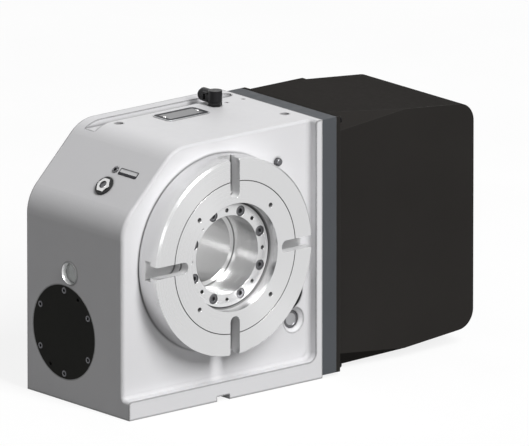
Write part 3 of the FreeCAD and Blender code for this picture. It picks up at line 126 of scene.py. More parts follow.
class FinishColours(bpy.types.PropertyGroup):
    """Base colours of the table's finishes."""

    casting: colour("Casting enamel", "Light grey enamel on the housing", (0.685, 0.682, 0.695))
    plate: colour("Face plate steel", "Turned and ground steel of the face plate", (0.68, 0.68, 0.685))
    steel: colour("Spindle steel", "Machined steel of the spindle, shafts and gears", (0.70, 0.70, 0.70))
    slate: colour("Slate paint", "Dark grey paint on the drive plate and rear cap", (0.086, 0.092, 0.100))
    black: colour("Black paint", "Powder coat on the motor cover and boxes", (0.0275, 0.0256, 0.0241))
    satin: colour("Satin black paint", "Paint on the worm's end cover", (0.044, 0.044, 0.041))
    oxide: colour("Black oxide", "Blackened steel of screws and nuts", (0.075, 0.075, 0.080))
    phosphate: colour("Phosphated steel", "Grey screws and pointer that show in front", (0.15, 0.15, 0.157))
    zinc: colour("Zinc plate", "Dish of the drain plug", (0.40, 0.40, 0.41))
    brass: colour("Brass", "Contact pins of the sockets", (0.72, 0.52, 0.22))
    bronze: colour("Bronze", "Worm wheel", (0.50, 0.29, 0.11))
    bright: colour("Nickel", "Plated plug, rivets, bearings and sockets", (0.70, 0.70, 0.70))
    cone: colour("Polished cone", "Cone in the sight glass's bezel", (0.88, 0.88, 0.88))
    plastic: colour("Black plastic", "Moulded fittings", (0.009, 0.009, 0.010))
    aluminium: colour("Aluminium", "Brushed plates and castings inside", (0.62, 0.63, 0.64))
    field: colour("Etched aluminium", "Field of the nameplate", (0.25, 0.25, 0.255))
    etched: colour("Etched black", "Line of the nameplate and foot of the tag", (0.055, 0.055, 0.06))
    rubber: colour("Seal rubber", "Oil seals and washers", (0.020, 0.020, 0.021))
    lining: colour("Brake lining", "Moulded friction ring", (0.13, 0.095, 0.07))


class PieceSizes(bpy.types.PropertyGroup):
    """Sizes of the small shapes that the solids leave plain."""

    knurl_count: IntProperty(name="Knurl count", description="Grooves round a cap screw's head", default=24, min=8)
    knurl_depth: length("Knurl depth", "Depth of the grooves round a cap screw's head", 0.12 * MM)
    head_round: length("Head rounding", "Rounding of a cap screw's rim", 0.45 * MM)

    name_corner: length("Nameplate corner", "Corner of the nameplate", 5 * MM)
    name_border: length("Nameplate border", "Width of the raised rim", 0.7 * MM)
    name_line: length("Nameplate line", "Width of the floor of the etched line", 4.2 * MM)
    name_wall: length("Nameplate line's wall", "Width of each wall of the etched line", 0.25 * MM)
    name_depth: length("Nameplate line depth", "Depth of the etched line", 0.25 * MM)
    rivet_radius: length("Rivet radius", "Radius of the nameplate's rivets", 1.8 * MM)
    rivet_height: length("Rivet height", "Height of a rivet with its hidden foot", 1.15 * MM)
    rivet_round: length("Rivet rounding", "Rounding of a rivet's head", 0.8 * MM)
    rivet_inset: length("Rivet inset", "From the nameplate's end to the rivet", 6.0 * MM)

    washer_thick: length("Washer thickness", "Thickness of the filler plug's washer", 1.5 * MM)
    washer_radius: length("Washer radius", "Radius of the filler plug's washer", 10.5 * MM)
    washer_hole: length("Washer hole", "Radius of the hole in the filler plug's washer", 7.02 * MM)
    plug_flats: length("Plug flats", "Filler plug's head across its flats", 14.6 * MM)
    plug_height: length("Plug height", "Height of the filler plug's head above its washer", 1.4 * MM)
    plug_face: length("Plug face", "Radius of the face of the filler plug's head", 7.0 * MM)
    plug_recess: length("Plug recess", "Radius of the recess in the filler plug's head", 4.3 * MM)
    plug_shank: length("Plug shank", "Radius of the filler plug's shank", 6.98 * MM)
    plug_reach: length("Plug reach", "How far the filler plug's shank goes into the casting", 12 * MM)

    level_gap: length("Level screw gap", "From the filler plug to the level screw", 20 * MM)
    level_radius: length("Level screw radius", "Radius of the level screw", 3.5 * MM)
    level_flats: length("Level screw flats", "Level screw's socket across its flats", 3.5 * MM)
    level_proud: length("Level screw height", "How far the level screw stands out", 0.8 * MM)
    level_reach: length("Level screw reach", "How far the level screw goes into the casting", 8 * MM)
    tag_length: length("Tag length", "Length of the bare tag beside the level screw", 27 * MM)
    tag_height: length("Tag height", "Height of the bare tag beside the level screw", 7.5 * MM)
    tag_thick: length("Tag thickness", "Thickness of the bare tag", 0.4 * MM)
    tag_gap: length("Tag gap", "From the level screw's middle to the tag", 6.5 * MM)

    pointer_radius: length("Pointer radius", "Radius of the zero pointer's button", 4 * MM)
    pointer_foot: length("Pointer foot", "From the zero pointer's middle to its tip", 9.3 * MM)
    pointer_width: length("Pointer width", "Width of the zero pointer's foot", 3.8 * MM)
    pointer_thick: length("Pointer thickness", "Thickness of the zero pointer's foot", 2.6 * MM)
    drain_rim: length("Drain plug rim", "Width of the drain plug's rim", 2.2 * MM)

    hex_radius: length("Air stud hexagon", "Radius to the corners of the air stud's hexagon", 7 * MM)
    hex_height: length("Air stud height", "Height of the air stud's hexagon", 3.9 * MM)
    thread_radius: length("Air thread radius", "Radius of the air stud's thread", 4.85 * MM)
    thread_reach: length("Air thread reach", "How far the air stud goes into the casting", 8 * MM)
    pivot_radius: length("Air pivot radius", "Radius of the pivot that the elbow turns on", 4 * MM)
    pivot_top: length("Air pivot top", "From the casting to the top of the pivot", 9 * MM)
    elbow_radius: length("Elbow radius", "Radius of the elbow's upright", 6.95 * MM)
    arm_radius: length("Arm radius", "Radius of the elbow's arm", 6.7 * MM)
    collet_bore: length("Collet bore", "Radius of the release collet's hole", 4.15 * MM)

    socket_floor: length("Socket floor", "From the back of the sockets' flange to the floor of the cup", 3.05 * MM)
    insert_radius: length("Insert radius", "Radius of the contact insert", 13.9 * MM)
    insert_thick: length("Insert thickness", "Thickness of the contact insert", 3 * MM)
    pin_count: IntProperty(name="Pin count", description="Contact pins in the ring", default=6, min=1)
    pin_radius: length("Pin radius", "Radius of a contact pin", 1.1 * MM)
    pin_length: length("Pin length", "From the insert's foot to the pin's tip", 11 * MM)
    pin_circle: length("Pin circle", "Radius of the ring of contact pins", 7.5 * MM)


class StageLevels(bpy.types.PropertyGroup):
    """Light, floor and camera."""

    key_power: power("Key power", "Power of the soft key light", 1110)
    key_width: length("Key width", "Width of the key light", 2.5)
    key_height: length("Key height", "Height of the key light", 7.0)
    key_distance: length("Key distance", "From the table to the key light and to the light behind", 10.0)
    key_from: point("Key direction", "From the table towards the key light", (0.0, -0.75, 0.66), "DIRECTION")
    fill_power: power("Fill power", "Power of the light behind", 400)
    fill_size: length("Fill size", "Side of the square light behind", 4.0)
    fill_from: point("Fill direction", "From the table towards the light behind", (0.3, 0.94, 0.12), "DIRECTION")
    eye_power: power("Eye light power", "Power of the small light beside the camera", 4)
    eye_size: length("Eye light size", "Side of the square light beside the camera", 0.75)
    eye_distance: length("Eye light distance", "From the table to the light beside the camera", 3.0)
    light_at: point("Lit point", "Point of the table that the lights face", (0.05, 0.0, 0.13))
    horizon: share("Horizon", "World level for diffuse light from the sides", 0.03)
    zenith: share("Zenith", "World level for diffuse light from above", 0.30)
    floor_shade: share("Floor shade", "How much of the shadow the floor keeps", 0.16)
    floor_size: length("Floor size", "Side of the square floor", 60.0)
    floor_drop: length("Floor drop", "From the table's foot down to the floor", 0.5 * MM)
    azimuth: angle("Azimuth", "Camera's angle round the table", -40)
    elevation: angle("Elevation", "Camera's angle above the floor", 15)
    lens: FloatProperty(name="Lens", description="Focal length", unit="CAMERA", default=1400)
    sensor: FloatProperty(name="Sensor", description="Width of the camera's sensor", unit="CAMERA", default=36)
    frame_width: length("Frame width", "Width that the camera sees at the table", 0.5212)
    look_at: point("Look at", "Point at the middle of the picture", (0.0278, -0.0411, 0.1828))
    far_end: length("Far end", "Distance up to which the camera sees", 60.0)


def settings():
    return bpy.context.scene.rotary_table


# Nodes of the finishes


class Recipe:
    """Lays the nodes of one finish, or of the studio's surroundings, on their shader."""

    USUAL = (0.3, 0.7)  # Where most of a noise lies
    MIX_SOCKETS = {"VECTOR": (4, 5, 1), "RGBA": (6, 7, 2)}

    def __init__(self, owner, shader="Principled BSDF"):
        owner.use_nodes = True
        self.owner = owner
        self.tree = owner.node_tree
        self.shader = self.tree.nodes[shader]
        self.coordinates = self.node("ShaderNodeTexCoord").outputs
        self.place = self.coordinates["Object"]

    def node(self, kind, feeds=None, **values):
        """A new node with its own values, and what is fed to its sockets."""
        made = self.tree.nodes.new(kind)
        for name, value in values.items():
            setattr(made, name, value)
        for name, value in (feeds or {}).items():
            self.feed(made.inputs[name], value)
        return made

    def feed(self, socket, value):
        if isinstance(value, bpy.types.NodeSocket):
            self.tree.links.new(value, socket)
        else:
            socket.default_value = value

    def set(self, **values):
        """Feeds the shader's own sockets."""
        for name, value in values.items():
            self.feed(self.shader.inputs[name.replace("_", " ")], value)

    def stretched(self, scale):
        return self.node("ShaderNodeMapping", {"Vector": self.place, "Scale": scale}).outputs["Vector"]

    def noise(self, scale, detail=3.0, rough=0.5, vector=None):
        feeds = {"Vector": vector or self.place, "Scale": scale, "Detail": detail, "Roughness": rough}
        return self.node("ShaderNodeTexNoise", feeds).outputs["Fac"]

    def cells(self, scale):
        return self.node("ShaderNodeTexVoronoi", {"Vector": self.place, "Scale": scale}).outputs["Distance"]

    def band(self, value, low, high, start=0.0, end=1.0):
        """Low up to the start, high past the end, and even between them."""
        feeds = {"Value": value, "From Min": start, "From Max": end, "To Min": low, "To Max": high}
        return self.node("ShaderNodeMapRange", feeds, clamp=True).outputs["Result"]

    def spread(self, noise, low=0.0, high=1.0):
        """A noise drawn out from low to high."""
        return self.band(noise, low, high, *self.USUAL)

    def math(self, operation, first, second=0.0):
        return self.node("ShaderNodeMath", {0: first, 1: second}, operation=operation).outputs[0]

    def times(self, first, *others):
        for other in others:
            first = self.math("MULTIPLY", first, other)
        return first

    def most(self, first, second):
        return self.math("MAXIMUM", first, second)

    def vector(self, operation, first, second=(0, 0, 0), output="Vector"):
        return self.node("ShaderNodeVectorMath", {0: first, 1: second}, operation=operation).outputs[output]

    def along(self, first, second):
        """How far two directions agree, from -1 to 1."""
        return self.vector("DOT_PRODUCT", first, second, "Value")

    def mix(self, kind, factor, first, second):
        start, end, result = self.MIX_SOCKETS[kind]
        return self.node("ShaderNodeMix", {0: factor, start: first, end: second}, data_type=kind).outputs[result]

    def blend(self, factor, first, second):
        """The first colour at 0 and the second at 1."""
        pair = [tone if isinstance(tone, bpy.types.NodeSocket) else (*tone, 1.0) for tone in (first, second)]
        return self.mix("RGBA", factor, *pair)

    def varied(self, factor, base, vary):
        """The base colour, a little darker at 0 and lighter at 1."""
        return self.blend(factor, tinted(base, 1 - vary), tinted(base, 1 + vary))

    def bump(self, height, distance, strength, normal=None):
        feeds = {"Height": height, "Distance": distance, "Strength": strength}
        if normal is not None:
            feeds["Normal"] = normal
        return self.node("ShaderNodeBump", feeds).outputs["Normal"]

    def surface(self):
        """The surface's own normal."""
        return self.node("ShaderNodeNewGeometry").outputs["Normal"]

    def rounded(self, radius):
        """A normal that rounds sharp edges off."""
        return self.node("ShaderNodeBevel", {"Radius": radius}, samples=6).outputs["Normal"]

    def creases(self, reach, start=0.55, end=0.95, own=False):
        """1 in inner corners, grooves and gaps, of the solid's own or with its neighbours, and 0 on open faces."""
        made = self.node("ShaderNodeAmbientOcclusion", {"Distance": reach}, samples=10, only_local=own)
        return self.band(made.outputs["AO"], 1.0, 0.0, start, end)

    def edges(self, normal, start=0.012, end=0.12):
        """1 on edges and 0 elsewhere, from how far the rounded normal leaves the surface's own."""
        same = self.along(normal, self.surface())
        return self.band(self.math("SUBTRACT", 1.0, same), 0.0, 1.0, start, end)


def recipe(name):
    return Recipe(bpy.data.materials.new(name))


def tinted(base, factor):
    return tuple(min(1.0, channel * factor) for channel in base)


def paint(name, base, rough, grain, edge_radius, edge_colour, edge_share=0.7, depth=0.03 * MM, specular=0.5,
          vary=0.05, hole_shade_share=0.0, edge_line_radius=0.0):
    """A sprayed coat: orange peel, uneven gloss, chipped edges, painted shade in corners and holes, and dark lines
    painted along sharp edges and small fillets.
    """
    corner_share, edge_line_share, painted_shade_tint, gloss_swing, gloss_grain = 0.8, 0.75, 0.25, 0.07, 0.22
    made = recipe(name)
    rounded = made.rounded(edge_radius)
    sprayed = made.varied(made.spread(made.noise(scale=9, detail=4)), base, vary)
    chips = made.band(made.noise(scale=60, detail=4), low=0.6, high=1.0, start=0.35, end=0.65)
    worn = made.blend(made.times(made.edges(rounded), chips, edge_share), sprayed, edge_colour)
    # Painted shade: darker in inner corners and in gaps between parts, where ambient occlusion finds them.
    painted_shade_and_lines = made.times(made.creases(reach=3 * MM), corner_share)
    if hole_shade_share:
        # Painted shade deep in the solid's own holes and recesses.
        holes = made.creases(reach=10 * MM, start=0.4, end=0.75, own=True)
        painted_shade_and_lines = made.most(painted_shade_and_lines, made.times(holes, hole_shade_share))
    if edge_line_radius:
        # Dark lines painted along sharp edges and small fillets.
        edge_lines = made.edges(made.rounded(edge_line_radius), start=0.004, end=0.016)
        painted_shade_and_lines = made.most(painted_shade_and_lines, made.times(edge_lines, edge_line_share))
    gloss = made.noise(scale=grain * gloss_grain)
    peel = made.noise(scale=grain, detail=2, rough=0.4)
    # The painted shade and the edge lines darken the base colour here.
    made.set(Base_Color=made.blend(painted_shade_and_lines, worn, tinted(base, painted_shade_tint)),
             Roughness=made.spread(gloss, rough - gloss_swing, rough + gloss_swing),
             Normal=made.bump(peel, depth, strength=0.6, normal=rounded),
             Specular_IOR_Level=specular)
    return made.owner


def metal(name, base, rough, stretch=(1, 1, 1), grain=700, depth=0.01 * MM, edge_share=0.35, crease_shade_share=0.7):
    """Machined or plated metal: fine tool grain, uneven gloss, brighter edges and painted shade in inner corners
    and gaps.
    """
    edge_tint, crease_shade_tint, haze_swing, mark_swing = 1.5, 0.15, 0.04, 0.05
    made = recipe(name)
    rounded = made.rounded(radius=0.4 * MM)
    marks = made.noise(grain, rough=0.55, vector=made.stretched(stretch))
    haze = made.noise(scale=35, detail=4)
    body = made.varied(made.spread(haze), base, vary=0.06)
    worn = made.blend(made.times(made.edges(rounded), edge_share), body, tinted(base, edge_tint))
    # Painted shade: darker in inner corners and in gaps between parts, where ambient occlusion finds them.
    oil = made.times(made.creases(reach=1.2 * MM), crease_shade_share)
    gloss = made.math("ADD", made.spread(marks, -mark_swing, mark_swing),
                      made.band(haze, rough - haze_swing, rough + haze_swing))
    made.set(Base_Color=made.blend(oil, worn, tinted(base, crease_shade_tint)),
             Roughness=gloss,
             Normal=made.bump(marks, depth, strength=0.5, normal=rounded),
             Metallic=1.0)
    return made.owner


def turned_metal(name, base, rough, pitch=0.35 * MM, depth=0.002 * MM, nose=(45 * MM, 50 * MM)):
    """Turned on a lathe: rings on its faces, a tool's uneven feed, dull slots outside the nose, painted shade in
    holes and slots outside the nose, and painted shade in corners and gaps.
    """
    edge_share, edge_tint, hole_shade_share, hole_shade_tint, crease_shade_share, crease_shade_tint = 0.5, 1.35, 0.8, 0.2, 0.85, 0.08
    haze_swing, feed_swing, slot_rough, slot_metal = 0.03, 0.01, 0.7, 0.3
    made = recipe(name)
    rounded = made.rounded(radius=0.5 * MM)
    across = made.vector("MULTIPLY", made.vector("SUBTRACT", made.place, SPINDLE), (1, 0, 1))
    radius = made.vector("LENGTH", across, output="Value")
    faced = made.band(made.math("ABSOLUTE", made.along(made.surface(), BACK)), 0, 1, start=0.8, end=0.95)
    rings = made.times(made.math("SINE", made.times(radius, 2 * math.pi / pitch)), faced)
    feed = made.node("ShaderNodeTexNoise", {"W": radius, "Scale": 900, "Detail": 4}, noise_dimensions="1D")
    feed = made.spread(feed.outputs["Fac"])
    haze = made.noise(scale=22, detail=4)

    outside = made.band(radius, 0, 1, *nose)
    slot = made.times(made.creases(reach=20 * MM, start=0.5, end=0.9, own=True), outside)
    # Painted shade deep in the holes and slots outside the nose.
    hole = made.times(made.creases(reach=6 * MM, start=0.3, end=0.7, own=True), outside)
    # Painted shade in inner corners and gaps between parts.
    oil = made.times(made.creases(reach=1.6 * MM), crease_shade_share)
    body = made.varied(feed, base, vary=0.015)
    worn = made.blend(made.times(made.edges(rounded), edge_share), body, tinted(base, edge_tint))
    hole_shaded = made.blend(made.times(hole, hole_shade_share), worn, tinted(base, hole_shade_tint))
    gloss = made.math("ADD", made.band(feed, -feed_swing, feed_swing),
                      made.band(haze, rough - haze_swing, rough + haze_swing))

    around = made.node("ShaderNodeTangent", direction_type="RADIAL", axis="Y").outputs["Tangent"]
    wall = made.math("ABSOLUTE", made.along(made.surface(), around))
    made.set(Base_Color=made.blend(oil, hole_shaded, tinted(base, crease_shade_tint)),
             Roughness=made.most(gloss, made.times(slot, slot_rough)),
             Metallic=made.band(slot, 1.0, slot_metal),
             Normal=made.bump(rings, depth, strength=0.2, normal=rounded),
             Tangent=made.mix("VECTOR", made.band(wall, 0, 1, start=0.3, end=0.6), around, BACK),
             Anisotropic=0.7, Anisotropic_Rotation=0.25)
    return made.owner


def lens_glass(name):
    """Clear plastic with faint smears."""
    made = recipe(name)
    smears = made.noise(scale=120)
    made.set(Base_Color=made.blend(smears, (0.80, 0.83, 0.82), (0.92, 0.94, 0.93)),
             Roughness=made.band(smears, low=0.03, high=0.10),
             Normal=made.bump(smears, distance=0.01 * MM, strength=0.2),
             Transmission_Weight=0.75, IOR=1.49)
    return made.owner


def lining(name, base, chip_colour=(0.55, 0.42, 0.16)):
    """Moulded brake lining: brass chips in a brown binder."""
    made = recipe(name)
    chips = made.band(made.cells(scale=600), low=1, high=0, start=0.12, end=0.3)
    binder = made.blend(made.noise(scale=300), tinted(base, factor=0.6), tinted(base, factor=1.3))
    made.set(Base_Color=made.blend(chips, binder, chip_colour),
             Roughness=made.band(chips, low=0.85, high=0.45),
             Normal=made.bump(made.noise(scale=900), distance=0.03 * MM, strength=0.6))
    return made.owner


def finishes():
    """Every finish, by the record's slot or by a name of its own."""
    tone = settings().colours
    return {
        "casting_paint": paint("casting_enamel", tone.casting, rough=0.46, grain=420, edge_radius=0.7 * MM,
                               edge_colour=(0.24, 0.24, 0.25), vary=0.012, hole_shade_share=0.85, edge_line_radius=2.5 * MM),
        "slate_paint": paint("slate_enamel", tone.slate, rough=0.45, grain=500, edge_radius=0.7 * MM,
                             edge_colour=(0.15, 0.15, 0.16), specular=0.04),
        "black_paint": paint("black_powder_coat", tone.black, rough=0.68, grain=900, edge_radius=0.8 * MM,
                             edge_colour=(0.075, 0.073, 0.07), specular=0.002),
        "satin_black": paint("satin_black_paint", tone.satin, rough=0.6, grain=900, edge_radius=0.8 * MM,
                             edge_colour=(0.10, 0.10, 0.095), specular=0.02),
        "etched_black": paint("etched_field", tone.etched, rough=0.4, grain=1200, edge_radius=0.2 * MM,
                              edge_colour=(0.1, 0.1, 0.1), edge_share=0.3, depth=0.01 * MM, specular=0.04),
        "black_plastic": paint("moulded_plastic", tone.plastic, rough=0.36, grain=1500, edge_radius=0.4 * MM,
                               edge_colour=(0.05, 0.05, 0.05), edge_share=0.4, depth=0.02 * MM, specular=0.2),
        "seal_rubber": paint("nitrile_rubber", tone.rubber, rough=0.62, grain=1300, edge_radius=0.3 * MM,
                             edge_colour=(0.05, 0.05, 0.05), edge_share=0.4, specular=0.3),
        "plate_steel": turned_metal("faced_plate_steel", tone.plate, rough=0.26),
        "spindle_steel": turned_metal("turned_spindle_steel", tone.steel, rough=0.24),
        "black_oxide": metal("black_oxide_steel", tone.oxide, rough=0.38, grain=900, edge_share=0.5),
        "worn_oxide": metal("worn_black_oxide", tinted(tone.oxide, factor=1.3), rough=0.33, grain=900,
                            edge_share=0.5),
        "phosphate": metal("phosphated_steel", tone.phosphate, rough=0.34, grain=900, edge_share=0.5),
        "zinc": metal("zinc_plate", tone.zinc, rough=0.36),
        "brass": metal("contact_brass", tone.brass, rough=0.28, depth=0.004 * MM),
        "bronze": metal("cast_bronze", tone.bronze, rough=0.32),
        "bearing_steel": metal("polished_bearing_steel", tone.bright, rough=0.14, depth=0.003 * MM),
        "bright_steel": metal("nickel_plate", tone.bright, rough=0.22, depth=0.005 * MM),
        "polished_cone": metal("polished_cone", tone.cone, rough=0.3, crease_shade_share=0.1),
        "bare_aluminium": metal("brushed_aluminium", tone.aluminium, rough=0.36, stretch=(1, 12, 12), grain=260),
        "etched_aluminium": metal("etched_aluminium", tone.field, rough=0.42, stretch=(1, 10, 10), grain=300),
        "sight_glass": lens_glass("sight_lens"),
        "friction_lining": lining("brake_lining", tone.lining),
    }


FINISH = {}


def finish(slot):
    if not FINISH:
        FINISH.update(finishes())
    return FINISH[slot]


# Modelling by hand


def leave_edit():
    if bpy.context.mode != "OBJECT":
        bpy.ops.object.mode_set(mode="OBJECT")


def deselect():
    leave_edit()
    bpy.ops.object.select_all(action="DESELECT")


def choose(*things):
    deselect()
    for thing in things:
        thing.select_set(True)
    bpy.context.view_layer.objects.active = things[0]


def edit(thing):
    """The mesh of a piece, open in edit mode."""
    if bpy.context.mode != "EDIT_MESH":
        choose(thing)
        bpy.ops.object.mode_set(mode="EDIT")
    return bmesh.from_edit_mesh(thing.data)


def coat(thing, *materials):
    leave_edit()
    thing.data.materials.clear()
    for material in materials:
        thing.data.materials.append(material)


def coat_picked(thing, index):
    """Gives the picked faces the finish of that number."""
    thing.active_material_index = index
    bpy.ops.object.material_slot_assign()


def coat_faces(thing, index, test):
    """Gives the faces that pass the test the finish of that number."""
    pick(thing, "FACE", test)
    coat_picked(thing, index)


def bake_place():
    bpy.ops.object.transform_apply(location=True, rotation=True, scale=True)


def added(name, scale=(1, 1, 1)):
    """The primitive that was just added, with its name and its place in its mesh."""
    thing = bpy.context.object
    thing.name = thing.data.name = name
    thing.scale = scale
    bake_place()
    return thing


def bar(name, radius, low, high, sides=64):
    """A round bar along Z."""
    deselect()
    bpy.ops.mesh.primitive_cylinder_add(vertices=sides, radius=radius, depth=high - low,
                                        location=(0, 0, (low + high) / 2))
    return added(name)


def taper(name, low_radius, high_radius, low, high, sides):
    """A cone along Z."""
    deselect()
    bpy.ops.mesh.primitive_cone_add(vertices=sides, radius1=low_radius, radius2=high_radius, depth=high - low,
                                    location=(0, 0, (low + high) / 2))
    return added(name)


def block(name, low, high):
    deselect()
    bpy.ops.mesh.primitive_cube_add(size=1, location=(Vector(low) + Vector(high)) / 2)
    return added(name, Vector(high) - Vector(low))


def hex_radius(flats):
    """From a hexagon's middle to its corners."""
    return flats / math.sqrt(3)


def middle_and_way(part):
    """A face's middle and normal, or an edge's middle and direction."""
    if isinstance(part, bmesh.types.BMFace):
        return part.calc_center_median(), part.normal
    start, end = (vert.co for vert in part.verts)
    return (start + end) / 2, (end - start).normalized()


def pick(thing, kind, test):
    """Selects the faces or edges whose middle and direction pass the test, in edit mode."""
    edit(thing)
    bpy.ops.mesh.select_mode(type=kind)
    bpy.ops.mesh.select_all(action="DESELECT")
    mesh = edit(thing)
    found = [part for part in (mesh.faces if kind == "FACE" else mesh.edges) if test(*middle_and_way(part))]
    if not found:
        raise RuntimeError(f"nothing to pick on {thing.name}")
    for part in found:
        part.select_set(True)
    bmesh.update_edit_mesh(thing.data)


def pick_end(thing, way=1):
    """Selects a piece's flat top, or its foot with way -1."""
    end = max(way * vert.co.z for vert in edit(thing).verts)
    pick(thing, "FACE", lambda middle, normal: way * normal.z > FLAT and abs(way * middle.z - end) < SAME)


def pick_ring(thing, height, radius):
    """Selects the edges of a ring round Z."""
    pick(thing, "EDGE", lambda middle, along: abs(middle.z - height) < NEAR and abs(along.z) < 1 - FLAT
         and abs(middle.to_2d().length - radius) < radius * RING_PLAY + NEAR)


def upright(middle, along):
    return abs(along.z) > FLAT


def inset(thickness, depth=0.0):
    """Insets the picked face, and raises or sinks its middle on the way."""
    bpy.ops.mesh.inset(thickness=thickness, depth=depth)


def draw_out(height):
    """Extrudes the picked face along Z."""
    bpy.ops.mesh.extrude_region_move(TRANSFORM_OT_translate={"value": (0, 0, height)})


def bevel(offset, segments=3):
    bpy.ops.mesh.bevel(offset=offset, segments=segments, affect="EDGES", clamp_overlap=True)


def round_ring(thing, height, radius, offset, segments=3):
    pick_ring(thing, height, radius)
    bevel(offset, segments)


def done(thing, smooth=SMOOTH_ANGLE):
    choose(thing)
    bpy.ops.object.shade_smooth_by_angle(angle=smooth)
    return thing


def modify(thing, kind, **values):
    """Adds a modifier with its values and applies it."""
    choose(thing)
    tool = thing.modifiers.new(kind.lower(), kind)
    for name, value in values.items():
        setattr(tool, name, value)
    bpy.ops.object.modifier_apply(modifier=tool.name)


def carve(thing, cutter, operation="DIFFERENCE"):
    modify(thing, "BOOLEAN", operation=operation, object=cutter, solver="EXACT")
    bpy.data.objects.remove(cutter)


def joined(*things):
    choose(*things)
    if len(things) > 1:
        bpy.ops.object.join()
    return things[0]


def placed(at, outward):
    """Takes what is made along Z to its place, with +Z in the given direction."""
    turn = Vector(UP).rotation_difference(Vector(outward))
    return Matrix.Translation(at) @ turn.to_matrix().to_4x4()


def settle(thing, at, outward, along=None):
    """Puts a piece that was made along Z in its place, with the place in its mesh."""
    thing.matrix_world = placed(at, outward)
    if along is not None:
        up, side = Vector(outward).normalized(), Vector(along).normalized()
        turn = Matrix((side, up.cross(side), up)).transposed()
        thing.matrix_world = Matrix.Translation(at) @ turn.to_4x4()
    choose(thing)
    bake_place()
    return thing


def copies(master, places, name):
    """Copies of one master, each with its own mesh, joined as one piece."""
    made = []
    for at, outward in places:
        copy = master.copy()
        copy.data = master.data.copy()
        bpy.context.scene.collection.objects.link(copy)
        copy.matrix_world = placed(at, outward)
        made.append(copy)
    choose(*made)
    bake_place()
    bpy.data.objects.remove(master)
    piece = joined(*made)
    piece.name = piece.data.name = name
    return piece


def middle_of(node):
    low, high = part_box(node)
    return (low + high) / 2


def solids(node):
    """The lowest and highest corner of each separate solid of a node."""
    mesh = bmesh.new()
    mesh.from_mesh(NODES[node].data)
    bmesh.ops.remove_doubles(mesh, verts=mesh.verts, dist=SAME)
    left, found = set(mesh.verts), []
    while left:
        group = [left.pop()]
        for vert in group:
            near = {edge.other_vert(vert) for edge in vert.link_edges} & left
            left -= near
            group.extend(near)
        found.append((Vector([min(v.co[i] for v in group) for i in range(3)]),
                      Vector([max(v.co[i] for v in group) for i in range(3)])))
    mesh.free()
    return found


def stand_for(piece, node, material=None):
    """The piece takes a node's place and body, and its finish unless it wears one."""
    if not piece.data.materials:
        coat(piece, material or finish(SLOT_OF[node]))
    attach(piece, NODES[node]["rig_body"])
    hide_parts(node)
    return piece


# Operators


class DressSolids(bpy.types.Operator):
    """Gives every solid its finish"""

    bl_idname = "rotary_table.dress_solids"
    bl_label = "Dress Solids"

    def execute(self, context):
        for node, thing in NODES.items():
            coat(thing, finish(SLOT_OF[node]))
        coat(NODES["worm_end_cover"], finish("satin_black"))
        return {"FINISHED"}


def cap_screw(size, reach, body, ring):
    """A socket cap screw along Z: its head stands on Z 0, and its shank goes down."""
    tool = settings().pieces
    radius = size * HEAD_SHARE / 2
    sides = tool.knurl_count * 2
    turn = 2 * math.pi / sides
    head = bar("cap_screw", radius, 0, size, sides)
    carve(head, bar("socket", hex_radius(size * SOCKET_SHARE), size * (1 - SOCKET_DEPTH), size + PAST, sides=6))

    def groove(middle, normal):
        outer = abs(normal.z) < SQUARE and middle.to_2d().length > radius * KNURL_FROM
        return outer and round(math.atan2(middle.y, middle.x) / turn - 0.5) % 2 == 0

    pick(head, "FACE", groove)
    bpy.ops.mesh.inset(thickness=radius * turn * KNURL_SHARE, depth=-tool.knurl_depth, use_individual=True)
    round_ring(head, size, radius, min(tool.head_round, size * RIM_SHARE))
    pick_end(head, -1)
    inset(radius - size / 2)
    draw_out(-reach)
    coat(head, body, ring)
    pick_end(head)
    coat_picked(head, 1)
    return done(head)


class CapScrews(bpy.types.Operator):
    """Makes the socket cap screws that show, with knurled heads and hex sockets"""

    bl_idname = "rotary_table.cap_screws"
    bl_label = "Cap Screws"

    OUTWARD = {
        "face_plate_screws": FRONT,
        "worm_end_cover_screws": LEFT,
        "motor_cover_screws": RIGHT,
        "brake_rear_cap_screws": BACK,
        "connector_box_screws": BACK,
    }

    def execute(self, context):
        for node, outward in self.OUTWARD.items():
            out = Vector(outward)
            axis = max(range(3), key=lambda i: abs(out[i]))
            places, sizes = [], set()
            for low, high in solids(node):
                across = max(high[i] - low[i] for i in range(3) if i != axis)
                size = round(across / HEAD_SHARE / MM) * MM
                top = (low + high) / 2
                top[axis] = high[axis] if out[axis] > 0 else low[axis]
                places.append((top - out * size, out))
                sizes.add((size, round(high[axis] - low[axis] - size, 6)))
            if len(sizes) != 1:
                raise RuntimeError(f"{node} holds screws of several sizes: {sorted(sizes)}")
            body, ring = finish(SLOT_OF[node]), finish("worn_oxide")
            if node == "face_plate_screws":
                body = ring = finish("phosphate")
            stand_for(copies(cap_screw(*sizes.pop(), body, ring), places, f"{node}_detailed"), node)
        return {"FINISHED"}


